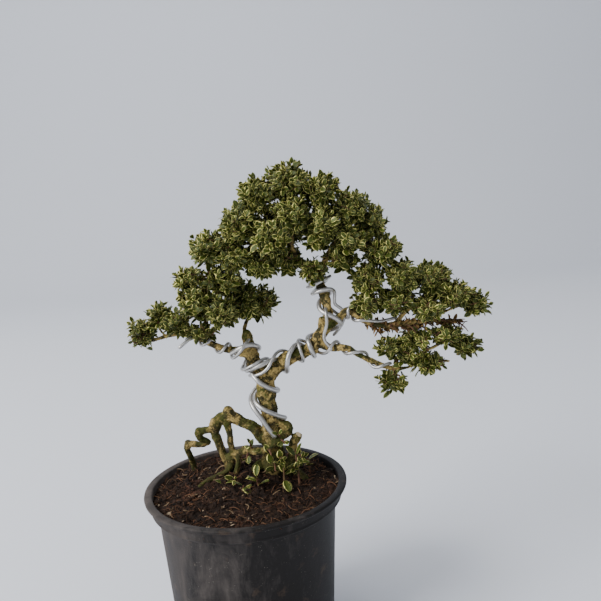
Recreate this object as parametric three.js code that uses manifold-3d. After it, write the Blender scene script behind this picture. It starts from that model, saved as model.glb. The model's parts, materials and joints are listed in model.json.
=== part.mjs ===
// A small-leaved shrub trained as a bonsai with aluminium wire, in a black nursery pot.
// Millimetres, +Z up. The pot stands on z = 0 with its axis on z; the front of the tree faces -Y.
import * as THREE from "three";
import { mergeVertices } from "three/addons/utils/BufferGeometryUtils.js";
import Module from "manifold-3d";

const wasm = await Module();
wasm.setup();

// Pot
const potHeight = 108;
const rimRadius = 62.5;
const flangeWidth = 5;
const flangeThickness = 2;
const collarInset = 3.5;
const collarHeight = 9;
const beadHeight = 2;
const bodyTopRadius = 55;
const bodyTaper = 0.068;
const wallThickness = 1.8;
const floorThickness = 2.5;
const footChamfer = 1.5;
const drainHoleRadius = 4;
const drainHoleCircle = 33;
const drainHoleCount = 6;
const drainHoleSides = 16;
const potSides = 40;

// Soil
const soilGap = 0.4;
const soilEdgeDrop = 4;
const drawnSoilEdge = 104;
const moundHeight = 8;
const moundWidth = 26;
const moundPlace = new THREE.Vector2(-4, 12);
const soilLump = 0.7;
const soilRings = 6;
const soilSides = 28;

// Tree
const treeGap = 0.3;
const rootDepth = 24;
const rootFootRadius = 1.6;
const woodSides = 8;
const twigSides = 4;
const twigRadius = 0.9;
const twigTipRadius = 0.6;
const twigReach = 0.8;
const twigSag = 0.1;
const twigRootSteps = 3;
const tipLength = 0.6;
const tipShare = 0.5;
const crownBottom = 165;

// Wire
const thickWireRadius = 1.5;
const thinWireRadius = 1;
const wireClearance = 0.9;
const wireSides = 5;
const stepsPerTurn = 18;
const stepsPerStation = 20;
const stepsPerGuideStation = 3;
const stepsPerObstacle = 8;
const stepsPerStop = 4;
const pushStep = 0.25;
const pushLimit = 48;
const smoothPasses = 3;

// Short edges that cuts leave behind are merged within this distance.
const meshTolerance = 0.12;

// Leaves
const clumpGap = 0.5;
const clumpLump = 0.12;
const leafThickness = 1;
const leafWidthShare = 0.42;
const leafWidestShare = 0.45;
const leafCurveSteps = 3;
const stemRadius = 0.8;

const potBaseRadius = bodyTopRadius - bodyTaper * (potHeight - collarHeight - beadHeight);
const collarRadius = rimRadius - collarInset;
const soilEdgeHeight = potHeight - soilEdgeDrop;

const materials = {
  pot: new THREE.MeshStandardMaterial({ color: 0x45423f, roughness: 0.7, metalness: 0 }),
  soil: new THREE.MeshStandardMaterial({ color: 0x2b1d17, roughness: 1, metalness: 0 }),
  wood: new THREE.MeshStandardMaterial({ color: 0x7a6a3c, roughness: 0.9, metalness: 0 }),
  wire: new THREE.MeshStandardMaterial({ color: 0xb9babc, roughness: 0.35, metalness: 1 }),
  leaf: new THREE.MeshStandardMaterial({ color: 0x59682c, roughness: 0.6, metalness: 0 }),
};

// Solids

function solidOf(geometry) {
  const bare = geometry.clone();
  bare.deleteAttribute("normal");
  bare.deleteAttribute("uv");
  const merged = mergeVertices(bare, 1e-4);
  const corners = merged.index.array;
  const triVerts = new Uint32Array(corners.length);
  let count = 0;
  for (let i = 0; i < corners.length; i += 3) {
    const [a, b, c] = [corners[i], corners[i + 1], corners[i + 2]];
    if (a === b || b === c || c === a) continue;
    triVerts.set([a, b, c], count);
    count += 3;
  }
  const vertProperties = merged.attributes.position.array;
  const mesh = { numProp: 3, vertProperties, triVerts: triVerts.slice(0, count) };
  const solid = new wasm.Manifold(new wasm.Mesh(mesh));
  if (solid.volume() > 0) return solid;
  for (let i = 0; i < count; i += 3) {
    [mesh.triVerts[i], mesh.triVerts[i + 1]] = [mesh.triVerts[i + 1], mesh.triVerts[i]];
  }
  return new wasm.Manifold(new wasm.Mesh(mesh));
}

function geometryOf(solid) {
  const mesh = solid.getMesh();
  const points = new Float32Array(mesh.numVert * 3);
  for (let i = 0; i < mesh.numVert; i++) {
    points.set(mesh.vertProperties.subarray(i * mesh.numProp, i * mesh.numProp + 3), i * 3);
  }
  const geometry = new THREE.BufferGeometry();
  geometry.setAttribute("position", new THREE.BufferAttribute(points, 3));
  geometry.setIndex(new THREE.BufferAttribute(new Uint32Array(mesh.triVerts), 1));
  geometry.computeVertexNormals();
  return geometry;
}

function joined(solids) {
  return solids.reduce((whole, next) => whole.add(next));
}

// The largest body of a solid: a cut can leave crumbs behind.
function mainBody(solid) {
  const bodies = solid.decompose();
  return bodies.reduce((best, next) => (next.volume() > best.volume() ? next : best));
}

// A closed skin over a stack of rings of points, with a fan over each end.
function skinned(rings) {
  const sides = rings[0].length;
  const points = rings.flat();
  const first = new THREE.Vector3();
  const last = new THREE.Vector3();
  rings[0].forEach((point) => first.addScaledVector(point, 1 / sides));
  rings[rings.length - 1].forEach((point) => last.addScaledVector(point, 1 / sides));
  points.push(first, last);
  const faces = [];
  for (let side = 0; side < sides; side++) {
    const next = (side + 1) % sides;
    for (let ring = 0; ring < rings.length - 1; ring++) {
      const [low, high] = [ring * sides, (ring + 1) * sides];
      faces.push(low + side, low + next, high + next, low + side, high + next, high + side);
    }
    const top = (rings.length - 1) * sides;
    faces.push(side, points.length - 2, next);
    faces.push(top + side, top + next, points.length - 1);
  }
  const geometry = new THREE.BufferGeometry().setFromPoints(points);
  geometry.setIndex(faces);
  return solidOf(geometry);
}

// Limbs: each is a list of [x, y, z, radius] from its root to its tip.

function pathThrough(stations, stepsPerSpan) {
  const places = stations.map(([x, y, z]) => new THREE.Vector3(x, y, z));
  const curve = new THREE.CatmullRomCurve3(places, false, "centripetal");
  const steps = (stations.length - 1) * stepsPerSpan;
  const path = [];
  for (let step = 0; step <= steps; step++) {
    const along = (step / steps) * (stations.length - 1);
    const before = Math.min(Math.floor(along), stations.length - 2);
    const radius = THREE.MathUtils.lerp(
      stations[before][3],
      stations[before + 1][3],
      along - before,
    );
    const share = step / steps;
    path.push({ place: curve.getPoint(share), tangent: curve.getTangent(share), radius });
  }
  // Each cross-section is turned as little as possible from the one before it.
  let front = new THREE.Vector3(0, -1, 0);
  for (const station of path) {
    front = front.clone().addScaledVector(station.tangent, -front.dot(station.tangent)).normalize();
    station.front = front;
    station.side = new THREE.Vector3().crossVectors(station.tangent, front);
  }
  return path;
}

function around(station, angle, reach) {
  return station.place
    .clone()
    .addScaledVector(station.front, Math.cos(angle) * reach)
    .addScaledVector(station.side, Math.sin(angle) * reach);
}

function limbSolid(stations, sides, stepsPerSpan, extra) {
  const path = pathThrough(stations, stepsPerSpan);
  const ringAt = (station, share) =>
    Array.from({ length: sides }, (_, i) =>
      around(station, (i / sides) * 2 * Math.PI, (station.radius + extra) * share),
    );
  const rings = path.map((station) => ringAt(station, 1));
  const tip = path[path.length - 1];
  const cap = { ...tip, place: tip.place.clone() };
  cap.place.addScaledVector(tip.tangent, tip.radius * tipLength + extra);
  rings.push(ringAt(cap, tipShare));
  return skinned(rings);
}

// The tree is drawn for soil whose edge is at drawnSoilEdge, and rises or sinks with the real soil.
const treeLift = soilEdgeHeight - drawnSoilEdge;

function lifted(stations) {
  return stations.map(([x, y, z, ...rest]) => [x, y, z + treeLift, ...rest]);
}

const buried = drawnSoilEdge - rootDepth;
const drawnLimbs = {
  trunk: [
    [14, 12, buried, 4], [17, 12, 105, 7.5], [18, 11, 118, 6.8], [18, 10, 131, 6], [17, 10, 141, 5.6],
    [17, 10, 150, 5.5], [16, 10, 163, 5.9], [16, 10, 174, 6.3],
  ],
  leftLimb: [[16, 10, 172, 6], [12, 10, 178, 5.2], [9, 10, 184, 4.7], [8, 9, 190, 4.2], [7, 9, 198, 3.7]],
  leftBranch: [
    [7, 9, 188, 3.4], [-1, 8, 190, 2.6], [-8, 8, 192, 2.2], [-16, 7, 196, 2.1], [-22, 6, 200, 1.9],
    [-31, 6, 203.5, 1.6], [-38, 6, 203, 1.5], [-48, 5, 201, 1.3], [-58, 5, 200, 1],
  ],
  leftTwig: [[-42, 6, 202, 1], [-45, 5, 207, 0.8], [-46, 5, 211, 0.7]],
  leftPadUp: [[-15, 7, 195.5, 1.4], [-18, 9, 206, 1.3], [-15, 10, 220, 1.1], [-16, 10, 232, 0.8]],
  leftPadBack: [[7, 10, 192, 2], [5, 17, 201, 1.5], [8, 25, 208, 1.1], [12, 29, 213, 0.8]],
  rightLimb: [
    [17, 10, 172, 6], [24, 10, 178, 5], [33, 10, 183.5, 4.5], [41, 10, 186, 4.2], [47, 9, 189.5, 4],
    [51, 9, 195, 3.8], [56, 9, 201, 3.6], [63, 9, 205.5, 3.2], [70, 9, 210, 2.8], [75, 9, 207, 2.5],
    [82, 9, 202, 2.3], [90, 9, 199.5, 2.1], [107, 9, 200, 1.8], [122, 9, 200.5, 1.4], [136, 9, 199, 1],
  ],
  elbowStub: [[54, 9, 199, 3.2], [53.5, 8, 203, 2.5], [53, 8, 206, 1.8]],
  upright: [
    [55, 9, 201, 3.5], [57.5, 9, 208, 3.1], [57, 9, 214, 3.1], [56, 9, 222, 3], [53, 10, 228, 3],
    [50, 10, 233, 2.6],
  ],
  crownLeft: [
    [52, 10, 230, 2.6], [46, 11, 237, 2.3], [41, 11, 243, 2], [34, 12, 249, 1.8], [22, 12, 253, 1.5],
    [8, 11, 255, 1.2], [-6, 10, 253, 0.9],
  ],
  crownRight: [
    [53, 10, 229, 2.6], [56, 11, 237, 2.3], [59, 11, 244, 2], [65, 12, 252, 1.7], [70, 11, 262, 1.3],
    [69, 10, 271, 0.9],
  ],
  crownTop: [[41, 11, 242, 1.8], [38, 10, 254, 1.6], [41, 12, 267, 1.3], [40, 10, 281, 0.9]],
  crownFar: [[64, 12, 250, 1.5], [76, 12, 250, 1.2], [88, 11, 248, 0.8]],
  rightPadNear: [[74, 9, 207, 1.8], [82, 10, 215, 1.4], [88, 10, 226, 0.9]],
  rightPadFar: [[98, 9, 199.5, 1.6], [105, 9, 207, 1.4], [117, 9, 216, 1.2], [126, 9, 224, 0.8]],
  rightPadTip: [[118, 9, 200.5, 1.2], [130, 9, 206, 1], [143, 9, 210, 0.7]],
  lowerLimb: [
    [51, 9, 192, 3.2], [56, 8, 188.5, 2.7], [62, 7, 188, 2.4], [68, 7, 187, 2.2], [75, 6, 182.5, 1.9],
    [86, 6, 176.5, 1.7], [95, 6, 172.5, 1.5],
  ],
  lowerRise: [
    [94, 6, 173, 1.3], [100, 6, 176, 1.2], [110, 6, 180, 1.1], [121, 5, 185, 1], [130, 5, 189, 0.8],
  ],
  lowerReach: [[94, 6, 173, 1.3], [103, 6, 172.5, 1.1], [115, 6, 176, 1], [130, 6, 175, 0.8]],
  archRoot: [
    [17, 11, 128, 4.4], [11, 11, 132, 4], [7, 11, 138.5, 3.8], [0, 12, 142.5, 3.8], [-9, 13, 147, 3.9],
    [-16, 14, 144, 3.7], [-19, 15, 138, 3.3], [-17, 15, 129, 2.8], [-14, 15, 119, 2.5],
    [-12, 15, 110, 2.3], [-12, 14, 101, rootFootRadius],
  ],
  archStrand: [
    [-11, 12, 144, 2.4], [-9, 11, 136, 2.3], [-9, 11, 129, 2.3], [-8, 11, 121, 2.3], [-11, 11, 113, 2],
    [-12, 9, 101, rootFootRadius],
  ],
  zigzagRoot: [
    [-17, 14, 140, 2.8], [-23, 15, 138, 2.3], [-28, 15, 137, 2.3], [-29, 16, 133, 2.1], [-24, 17, 129, 2.1],
    [-29, 19, 127, 2.1], [-37, 21, 127, 2.1], [-39, 23, 123, 2.1], [-38, 25, 118, 2], [-37, 28, 111, 1.9],
    [-36, 29, 100, rootFootRadius],
  ],
  frontRoot: [
    [-9, 11, 117, 1.9], [-12, 9, 112.5, 1.9], [-18, 6, 110.5, 1.8], [-24, 3, 109, 1.8],
    [-29, 0, 106.5, 1.7],
    [-36, -4, 101, rootFootRadius],
  ],
  middleRoot: [
    [0, 10, 126, 2.2], [-4, 9, 122, 2], [-5, 7, 116, 1.9], [-7, 6, 110, 1.8], [-8, 4, 101, rootFootRadius],
  ],
  loopRoot: [
    [19, 10, 142, 3.2], [25, 9, 140.5, 2.9], [28, 8, 136.5, 2.8], [24, 6, 133.5, 2.7], [19, 4, 130, 2.7],
    [13, 3, 126.5, 2.6], [6, 5, 125.5, 2.5], [-1, 8, 125, 2.4], [-8, 11, 122, 2.3],
  ],
  cutStub: [[24, 12, 101, 3], [28, 11, 112, 2.9], [30, 10, 122, 2.8], [31, 9, 128, 2.9], [34, 7, 133, 3.1]],
  backRoot: [[18, 13, 122, 3.6], [22, 20, 115, 2.8], [25, 28, 107, 2.2], [28, 34, 98, rootFootRadius]],
  rightRoot: [[19, 11, 119, 3.2], [30, 8, 111, 2.4], [38, 5, 104, 1.9], [42, 3, 98, rootFootRadius]],
  leftRoot: [[15, 11, 118, 3.4], [6, 10, 112, 2.8], [0, 7, 106, 2.2], [-4, 4, 98, rootFootRadius]],
};
const limbs = Object.fromEntries(
  Object.entries(drawnLimbs).map(([name, stations]) => [name, lifted(stations)]),
);
const rootNames = ["archRoot", "archStrand", "zigzagRoot", "frontRoot", "middleRoot", "loopRoot"];
const coarseStep = 1;
const fineStep = 2;

function limbsSolid(extra) {
  return joined(
    Object.entries(limbs).map(([name, stations]) => {
      const thin = stations[0][3] < 2 && !rootNames.includes(name);
      const steps = name === "trunk" || name === "rightLimb" ? fineStep : coarseStep;
      return limbSolid(stations, thin ? twigSides : woodSides, steps, extra);
    }),
  );
}

// Foliage: the sprays of leaves, each [x, y, z, half length, half depth, half height].

const drawnClumps = {
  left_tip: [-56, 5, 206, 8, 9, 9],
  left_side: [-45, 8, 215, 7, 10, 8],
  left_front: [-34, 3, 211, 8, 12, 7],
  left_mid: [-22, 10, 222, 11, 20, 11],
  left_inner: [-7, 6, 216, 11, 18, 10],
  left_back: [12, 31, 216, 15, 12, 10],
  left_inner_back: [5, 20, 219, 9, 13, 12],
  left_low: [-21, 1, 205, 12, 8, 5],
  left_high: [-25, 14, 236, 10, 14, 7],
  left_high_inner: [-6, 14, 234, 12.5, 17, 9],
  crown_west: [-12, 12, 254, 12, 18, 10],
  crown_west_low: [4, 9, 247.5, 11, 17, 9],
  crown_low: [20, 12, 243, 12, 20, 8],
  crown_low_inner: [36, 16, 243, 8, 16, 8],
  crown_west_high: [8, 12, 267, 12, 22, 12],
  crown_front: [25, 2, 259, 12, 18, 11],
  crown_back: [32, 32, 264, 18, 14, 15],
  crown_shoulder: [19, 12, 284, 12, 18, 11],
  crown_top: [38, 10, 291, 13, 18, 11],
  crown_heart: [40, 4, 272, 11, 18, 11],
  crown_fork: [50, 4, 238, 9, 11, 6],
  crown_gap_top: [53, 8, 256, 8, 14, 5],
  crown_right_inner: [65, 8, 245, 7, 13, 7],
  crown_top_right: [57, 10, 284, 12, 18, 10],
  crown_centre_right: [57, 4, 265, 10, 18, 10],
  crown_right: [74, 12, 273, 12, 18, 10],
  crown_right_low: [72, 6, 256, 10, 18, 9],
  crown_east: [87, 14, 262, 9, 16, 10],
  crown_gap_edge: [70, 14, 241, 8, 14, 7],
  right_high: [92, 10, 246, 12, 18, 9],
  right_inner: [83, 10, 229, 10, 18, 9],
  right_mid: [103, 6, 231, 10, 18, 9],
  right_upper_far: [122, 12, 227, 12, 17, 9],
  right_low: [100, 10, 215, 12, 18, 8],
  right_low_inner: [80, 6, 215, 8, 14, 7],
  right_far: [134, 8, 217, 11, 15, 8],
  right_under: [118, 4, 211, 10, 15, 7],
  right_tip: [147, 8, 210, 9, 10, 7],
  lower_inner: [92, 2, 188, 8, 9, 5],
  lower_inner_far: [102, 8, 182, 9, 10, 5],
  lower_mid: [110, 8, 191, 11, 12, 6],
  lower_high: [128, 6, 192, 11, 12, 6],
  lower_far: [142, 8, 184, 8, 10, 6],
  lower_low: [94, 4, 166, 9, 9, 6],
  lower_reach: [116, 8, 176, 12, 11, 6],
};
const clumps = Object.fromEntries(
  Object.entries(drawnClumps).map(([name, size]) => [name, lifted([size])[0]]),
);

function clumpSolid(size, turn) {
  const [x, y, z, length, depth, height] = size;
  const facets = new THREE.IcosahedronGeometry(1, 1);
  const ball = mergeVertices(facets.deleteAttribute("normal").deleteAttribute("uv"));
  const points = ball.attributes.position;
  const point = new THREE.Vector3();
  for (let i = 0; i < points.count; i++) {
    point.fromBufferAttribute(points, i);
    const lump = 1 + clumpLump * Math.sin(5 * point.x + turn) * Math.sin(4 * point.y + 2 * point.z + turn);
    point.multiplyScalar(lump);
    points.setXYZ(i, x + point.x * length, y + point.y * depth, z + point.z * height);
  }
  return solidOf(ball);
}

// Half of space as a big box: everything beyond a plane through a point.
function beyond(point, normal) {
  const reach = 4 * rimRadius;
  const box = new THREE.BoxGeometry(reach, reach, reach);
  box.translate(0, 0, reach / 2);
  box.applyQuaternion(new THREE.Quaternion().setFromUnitVectors(new THREE.Vector3(0, 0, 1), normal));
  box.translate(point.x, point.y, point.z);
  return solidOf(box);
}

// Two clumps that meet are both cut back from the plane between them.
function partClumps(solids) {
  const names = Object.keys(solids);
  names.forEach((a, index) => {
    for (const b of names.slice(index + 1)) {
      if (solids[a].intersect(solids[b]).volume() === 0) continue;
      const from = new THREE.Vector3(...clumps[a]);
      const to = new THREE.Vector3(...clumps[b]);
      const normal = to.clone().sub(from).normalize();
      const reachOf = (size) => Math.hypot(normal.x * size[3], normal.y * size[4], normal.z * size[5]);
      const share = reachOf(clumps[a]) / (reachOf(clumps[a]) + reachOf(clumps[b]));
      const middle = from.clone().lerp(to, share);
      const near = middle.clone().addScaledVector(normal, -clumpGap / 2);
      const far = middle.clone().addScaledVector(normal, clumpGap / 2);
      solids[a] = solids[a].subtract(beyond(near, normal));
      solids[b] = solids[b].subtract(beyond(far, normal.clone().negate()));
    }
  });
}

// A twig from the nearest limb carries each clump: it ends inside the clump.
const bareLimbs = ["trunk", "leftLimb", "elbowStub", "upright", "cutStub"];

function twigStations() {
  const stations = Object.entries(limbs)
    .filter(([name, limb]) => !bareLimbs.includes(name) && limb[0][2] > crownBottom + treeLift)
    .flatMap(([, limb]) => pathThrough(limb, twigRootSteps).slice(twigRootSteps));
  return Object.values(clumps).map((size) => {
    const tip = new THREE.Vector3(...size);
    const distance = (station) => station.place.distanceTo(tip) + Math.max(0, station.place.z - tip.z);
    const start = stations.reduce((best, next) => (distance(next) < distance(best) ? next : best));
    const end = start.place.clone().lerp(tip, twigReach);
    const middle = start.place.clone().lerp(end, 0.5);
    middle.z -= twigSag * start.place.distanceTo(tip);
    return [
      [...start.place.toArray(), Math.min(twigRadius, start.radius)],
      [...middle.toArray(), (twigRadius + twigTipRadius) / 2],
      [...end.toArray(), twigTipRadius],
    ];
  });
}

const twigs = twigStations();

function woodSolid(extra) {
  return joined([limbsSolid(extra), ...twigs.map((twig) => limbSolid(twig, twigSides, coarseStep, extra))]);
}

// Wires: each winds round a guide made of limbs.

const trunkUp = limbs.trunk.slice(2, -1);
const guides = {
  upright: [...trunkUp, ...limbs.rightLimb.slice(1, 6), ...limbs.upright.slice(1)],
  stub: [...trunkUp, ...limbs.leftLimb.slice(1)],
  leftBranch: [...trunkUp.slice(4), ...limbs.leftLimb.slice(1, 3), ...limbs.leftBranch.slice(1)],
  lower: [...trunkUp.slice(4), ...limbs.rightLimb.slice(1, 5), ...limbs.lowerLimb.slice(1)],
  rightEnd: limbs.rightLimb.slice(3),
  top: [...limbs.rightLimb.slice(4, 6), ...limbs.upright.slice(1)],
};

// Each wire has the free ends before and after it, and rows of [station of its guide, turns round it].
// At 0 turns the wire lies in front. At a quarter turn it is right of a limb that rises, and under
// one that goes right.
const wires = {
  wire_trunk_right: {
    guide: "upright",
    radius: thickWireRadius,
    rows: [
      [1.9, 0.5], [2.35, 0.25], [3.15, 0], [3.72, -0.25], [3.95, -0.5], [4.12, -0.75], [4.25, -1],
      [4.5, -1.25],
      [4.8, -1.5], [5.15, -1.75], [5.7, -2], [6.7, -2.25], [7.15, -2.5], [7.6, -2.75], [7.85, -3],
      [8.4, -3.25],
      [9.1, -3.5], [9.8, -3.75], [10.15, -4], [11.2, -4.25], [11.7, -4.5], [12, -4.75],
      [12.3, -5], [12.5, -5.25],
      [12.8, -5.5], [13, -5.75], [13.25, -6], [13.45, -6.25], [13.7, -6.5],
    ],
  },
  wire_trunk_left: {
    guide: "stub",
    radius: thickWireRadius,
    rows: [
      [1.4, 0.04], [2.4, -0.07], [3, -0.14], [3.65, -0.25], [4.25, -0.5], [5.1, -0.75],
      [5.25, -1], [5.4, -1.25],
      [6, -1.5], [7, -1.75], [7.7, -2], [7, -2.25],
    ],
  },
  wire_lower: {
    guide: "lower",
    radius: thinWireRadius,
    rows: [
      [0.3, -0.25], [0.5, -0.1], [0.85, -0.05], [1.2, -0.1], [1.6, -0.25], [2, -0.5], [2.75, -0.75],
      [2.87, -1], [3, -1.25], [3.7, -1.5], [4.6, -1.75], [5.3, -2], [5.8, -2.25], [6.3, -2.5], [6.9, -2.75],
      [7.5, -3], [8.2, -3.25], [8.5, -3.5], [8.8, -3.75], [9.2, -4], [9.75, -4.25],
    ],
  },
  wire_left_branch: {
    guide: "leftBranch",
    radius: thinWireRadius,
    rows: [
      [0.6, -0.5], [1.5, -0.75], [1.62, -1], [1.75, -1.25], [2.2, -1.5], [2.6, -1.75], [2.9, -2],
      [3.15, -2.25],
      [3.4, -2.5], [3.7, -2.75], [4, -3], [4.3, -3.25], [4.65, -3.5], [5, -3.75], [5.3, -4], [5.6, -4.25],
      [5.9, -4.5], [6.2, -4.75],
    ],
    after: [[-28, 0, 200], [-33, -2, 196.5]],
  },
  wire_right_end: {
    guide: "rightEnd",
    radius: thinWireRadius,
    rows: [
      [0.9, 0.5], [1.5, 0.25], [2.1, 0.06], [2.9, 0], [3.4, -0.06], [3.9, -0.25], [4.25, -0.5],
      [4.6, -0.75],
      [4.9, -1], [5.25, -1.25], [5.6, -1.5], [6, -1.75], [6.4, -2], [7.2, -2.1], [8, -2.15], [8.5, -2.25],
    ],
  },
  wire_upright: {
    guide: "top",
    radius: thinWireRadius,
    rows: [
      [1.3, 0.35], [2.1, 0.25], [3, 0.25], [4, 0.2], [4.3, 0], [4.5, -0.25], [4.8, -0.5],
      [5, -0.75], [5.2, -1],
      [5.4, -1.25],
    ],
  },
};

// The stops between a wire's rows: stations of its guide and turns, evenly spread and then smoothed.
function wireStops(rows) {
  const stops = [rows[0]];
  for (let i = 1; i < rows.length; i++) {
    const [from, to] = [rows[i - 1], rows[i]];
    const turning = Math.abs(to[1] - from[1]) * stepsPerTurn;
    const going = Math.abs(to[0] - from[0]) * stepsPerGuideStation;
    const count = Math.ceil(Math.max(turning, going));
    for (let k = 1; k <= count; k++) {
      stops.push(from.map((start, j) => THREE.MathUtils.lerp(start, to[j], k / count)));
    }
  }
  for (let pass = 0; pass < smoothPasses; pass++) {
    const old = stops.map((stop) => [...stop]);
    for (let i = 1; i < stops.length - 1; i++) {
      stops[i] = old[i].map((middle, j) => (old[i - 1][j] + 2 * middle + old[i + 1][j]) / 4);
    }
  }
  return stops;
}

// What a wire has to stay clear of: the limbs and twigs, then each wire already wound.
const obstacles = [...Object.values(limbs), ...twigs].flatMap((stations) =>
  pathThrough(stations, stepsPerObstacle),
);

function isClear(place, radius) {
  return obstacles.every((each) => each.place.distanceTo(place) >= each.radius + radius + wireClearance);
}

function wirePlaces({ guide: guideName, radius, rows, before = [], after = [] }) {
  const guide = pathThrough(guides[guideName], stepsPerStation);
  const stops = wireStops(rows).map(([along, turns]) => {
    const station = guide[Math.round(along * stepsPerStation)];
    const angle = turns * 2 * Math.PI;
    let reach = station.radius + radius + wireClearance;
    for (let push = 0; push < pushLimit; push++) {
      if (isClear(around(station, angle, reach), radius)) break;
      reach += pushStep;
    }
    return { station, angle, reach };
  });
  // A pushed stop lifts the ones beside it, so the wire stays one smooth curve.
  for (let pass = 0; pass < smoothPasses; pass++) {
    const reaches = stops.map((stop) => stop.reach);
    stops.forEach((stop, i) => {
      const [left, right] = [reaches[Math.max(0, i - 1)], reaches[Math.min(stops.length - 1, i + 1)]];
      stop.reach = Math.max(stop.reach, (left + right) / 2);
    });
  }
  const wound = stops.map((stop) => around(stop.station, stop.angle, stop.reach));
  const ends = [before, after].map((end) => lifted(end).map((place) => new THREE.Vector3(...place)));
  const places = [...ends[0], ...wound, ...ends[1]];
  const path = new THREE.CatmullRomCurve3(places, false, "centripetal");
  path.getPoints(places.length * stepsPerStop).forEach((place) => obstacles.push({ place, radius }));
  return places;
}

function rodSolid(places, radius) {
  const path = new THREE.CatmullRomCurve3(places, false, "centripetal");
  const section = new THREE.Shape();
  for (let i = 0; i < wireSides; i++) {
    const angle = (i / wireSides) * 2 * Math.PI;
    const [x, y] = [radius * Math.cos(angle), radius * Math.sin(angle)];
    if (i === 0) section.moveTo(x, y);
    else section.lineTo(x, y);
  }
  section.closePath();
  const settings = { steps: places.length - 1, bevelEnabled: false, extrudePath: path };
  return solidOf(new THREE.ExtrudeGeometry(section, settings));
}

// Sprouts at the foot: each has a stem and leaves [x, y, z, length, heading, rise] in degrees.

const sprouts = {
  sprout_front: {
    stem: [[9, -8, 99], [8, -7, 107], [7, -6, 113]],
    leaves: [
      [7, -6, 112, 9, 240, 40], [8, -7, 108, 9, 330, 35], [7, -6, 113, 8, 80, 55], [8, -7, 110, 8, 170, 20],
    ],
  },
  sprout_low_left: {
    stem: [[-3, -10, 98], [-2, -9, 105], [-1, -8, 109]],
    leaves: [[-1, -8, 108, 8, 300, 0], [-1, -8, 109, 8, 200, 30], [-2, -9, 106, 7, 20, 15]],
  },
  sprout_right: {
    stem: [[24, -7, 98], [24, -6, 108], [24, -4, 117]],
    leaves: [
      [24, -4, 116, 9, 330, 30], [24, -4, 117, 8, 200, 40], [24, -5, 113, 9, 20, 10],
      [24, -6, 110, 10, 290, -20], [24, -5, 114, 8, 120, 50],
    ],
  },
  sprout_high: {
    stem: [[33, -4, 98], [33, -3, 112], [32, -2, 124]],
    leaves: [
      [32, -2, 123, 9, 150, 40], [32, -2, 124, 8, 20, 50], [33, -3, 118, 9, 330, 20],
      [33, -3, 114, 8, 210, 30],
    ],
  },
  sprout_left: {
    stem: [[-15, -4, 98], [-14, -3, 105], [-13, -3, 109]],
    leaves: [[-13, -3, 108, 7, 160, 25], [-13, -3, 109, 7, 330, 30]],
  },
  sprout_back_right: {
    stem: [[40, 14, 97], [40, 14, 107], [39, 13, 115]],
    leaves: [[39, 13, 114, 8, 0, 40], [39, 13, 115, 8, 180, 45], [40, 14, 110, 8, 270, 20]],
  },
};

function leafSolid([x, y, z, length, heading, rise]) {
  const half = (length * leafWidthShare) / 2;
  const outline = new THREE.Shape();
  outline.moveTo(0, -stemRadius / 2);
  outline.quadraticCurveTo(length * leafWidestShare, -half * 2, length, 0);
  outline.quadraticCurveTo(length * leafWidestShare, half * 2, 0, stemRadius / 2);
  outline.closePath();
  const blade = new THREE.ExtrudeGeometry(outline, {
    depth: leafThickness,
    bevelEnabled: false,
    curveSegments: leafCurveSteps,
  });
  blade.translate(0, 0, -leafThickness / 2);
  blade.rotateY(-THREE.MathUtils.degToRad(rise));
  blade.rotateZ(THREE.MathUtils.degToRad(heading));
  blade.translate(x, y, z);
  return solidOf(blade);
}

function stemSolid(stem, extra) {
  const stations = stem.map(([x, y, z]) => [x, y, z, stemRadius]);
  return limbSolid(stations, twigSides, coarseStep, extra);
}

// The pot is a lathe with drain holes round a solid centre.

const ledgeHeight = potHeight - collarHeight - beadHeight;

function potSolid() {
  const collarWall = rimRadius - flangeWidth;
  const profile = [
    [0, 0],
    [potBaseRadius - footChamfer, 0],
    [potBaseRadius, footChamfer],
    [bodyTopRadius, ledgeHeight],
    [collarRadius, potHeight - collarHeight],
    [collarRadius, potHeight - flangeThickness],
    [rimRadius, potHeight - flangeThickness],
    [rimRadius, potHeight - flangeThickness / 4],
    [rimRadius - flangeThickness / 4, potHeight],
    [collarWall, potHeight],
    [collarWall, potHeight - collarHeight + wallThickness / 2],
    [bodyTopRadius - wallThickness, ledgeHeight],
    [potBaseRadius - wallThickness, floorThickness],
    [0, floorThickness],
  ].map(([radius, height]) => new THREE.Vector2(radius, height));
  const lathe = new THREE.LatheGeometry(profile, potSides).rotateX(Math.PI / 2);
  let pot = solidOf(lathe);
  for (let i = 0; i < drainHoleCount; i++) {
    const angle = (i / drainHoleCount) * 2 * Math.PI;
    const depth = 4 * floorThickness;
    const hole = new THREE.CylinderGeometry(drainHoleRadius, drainHoleRadius, depth, drainHoleSides);
    hole.rotateX(Math.PI / 2);
    hole.translate(drainHoleCircle * Math.cos(angle), drainHoleCircle * Math.sin(angle), 0);
    pot = pot.subtract(solidOf(hole));
  }
  return pot;
}

// Soil fills the pot and rises in a low mound round the roots.

function soilHeight(x, y) {
  const away = Math.hypot(x - moundPlace.x, y - moundPlace.y) / moundWidth;
  const lumps = Math.sin(0.31 * x + 1.1) * Math.sin(0.27 * y) + 0.5 * Math.sin(0.7 * x + 0.5 * y);
  return soilEdgeHeight + moundHeight * Math.exp(-away * away) + soilLump * lumps;
}

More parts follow.
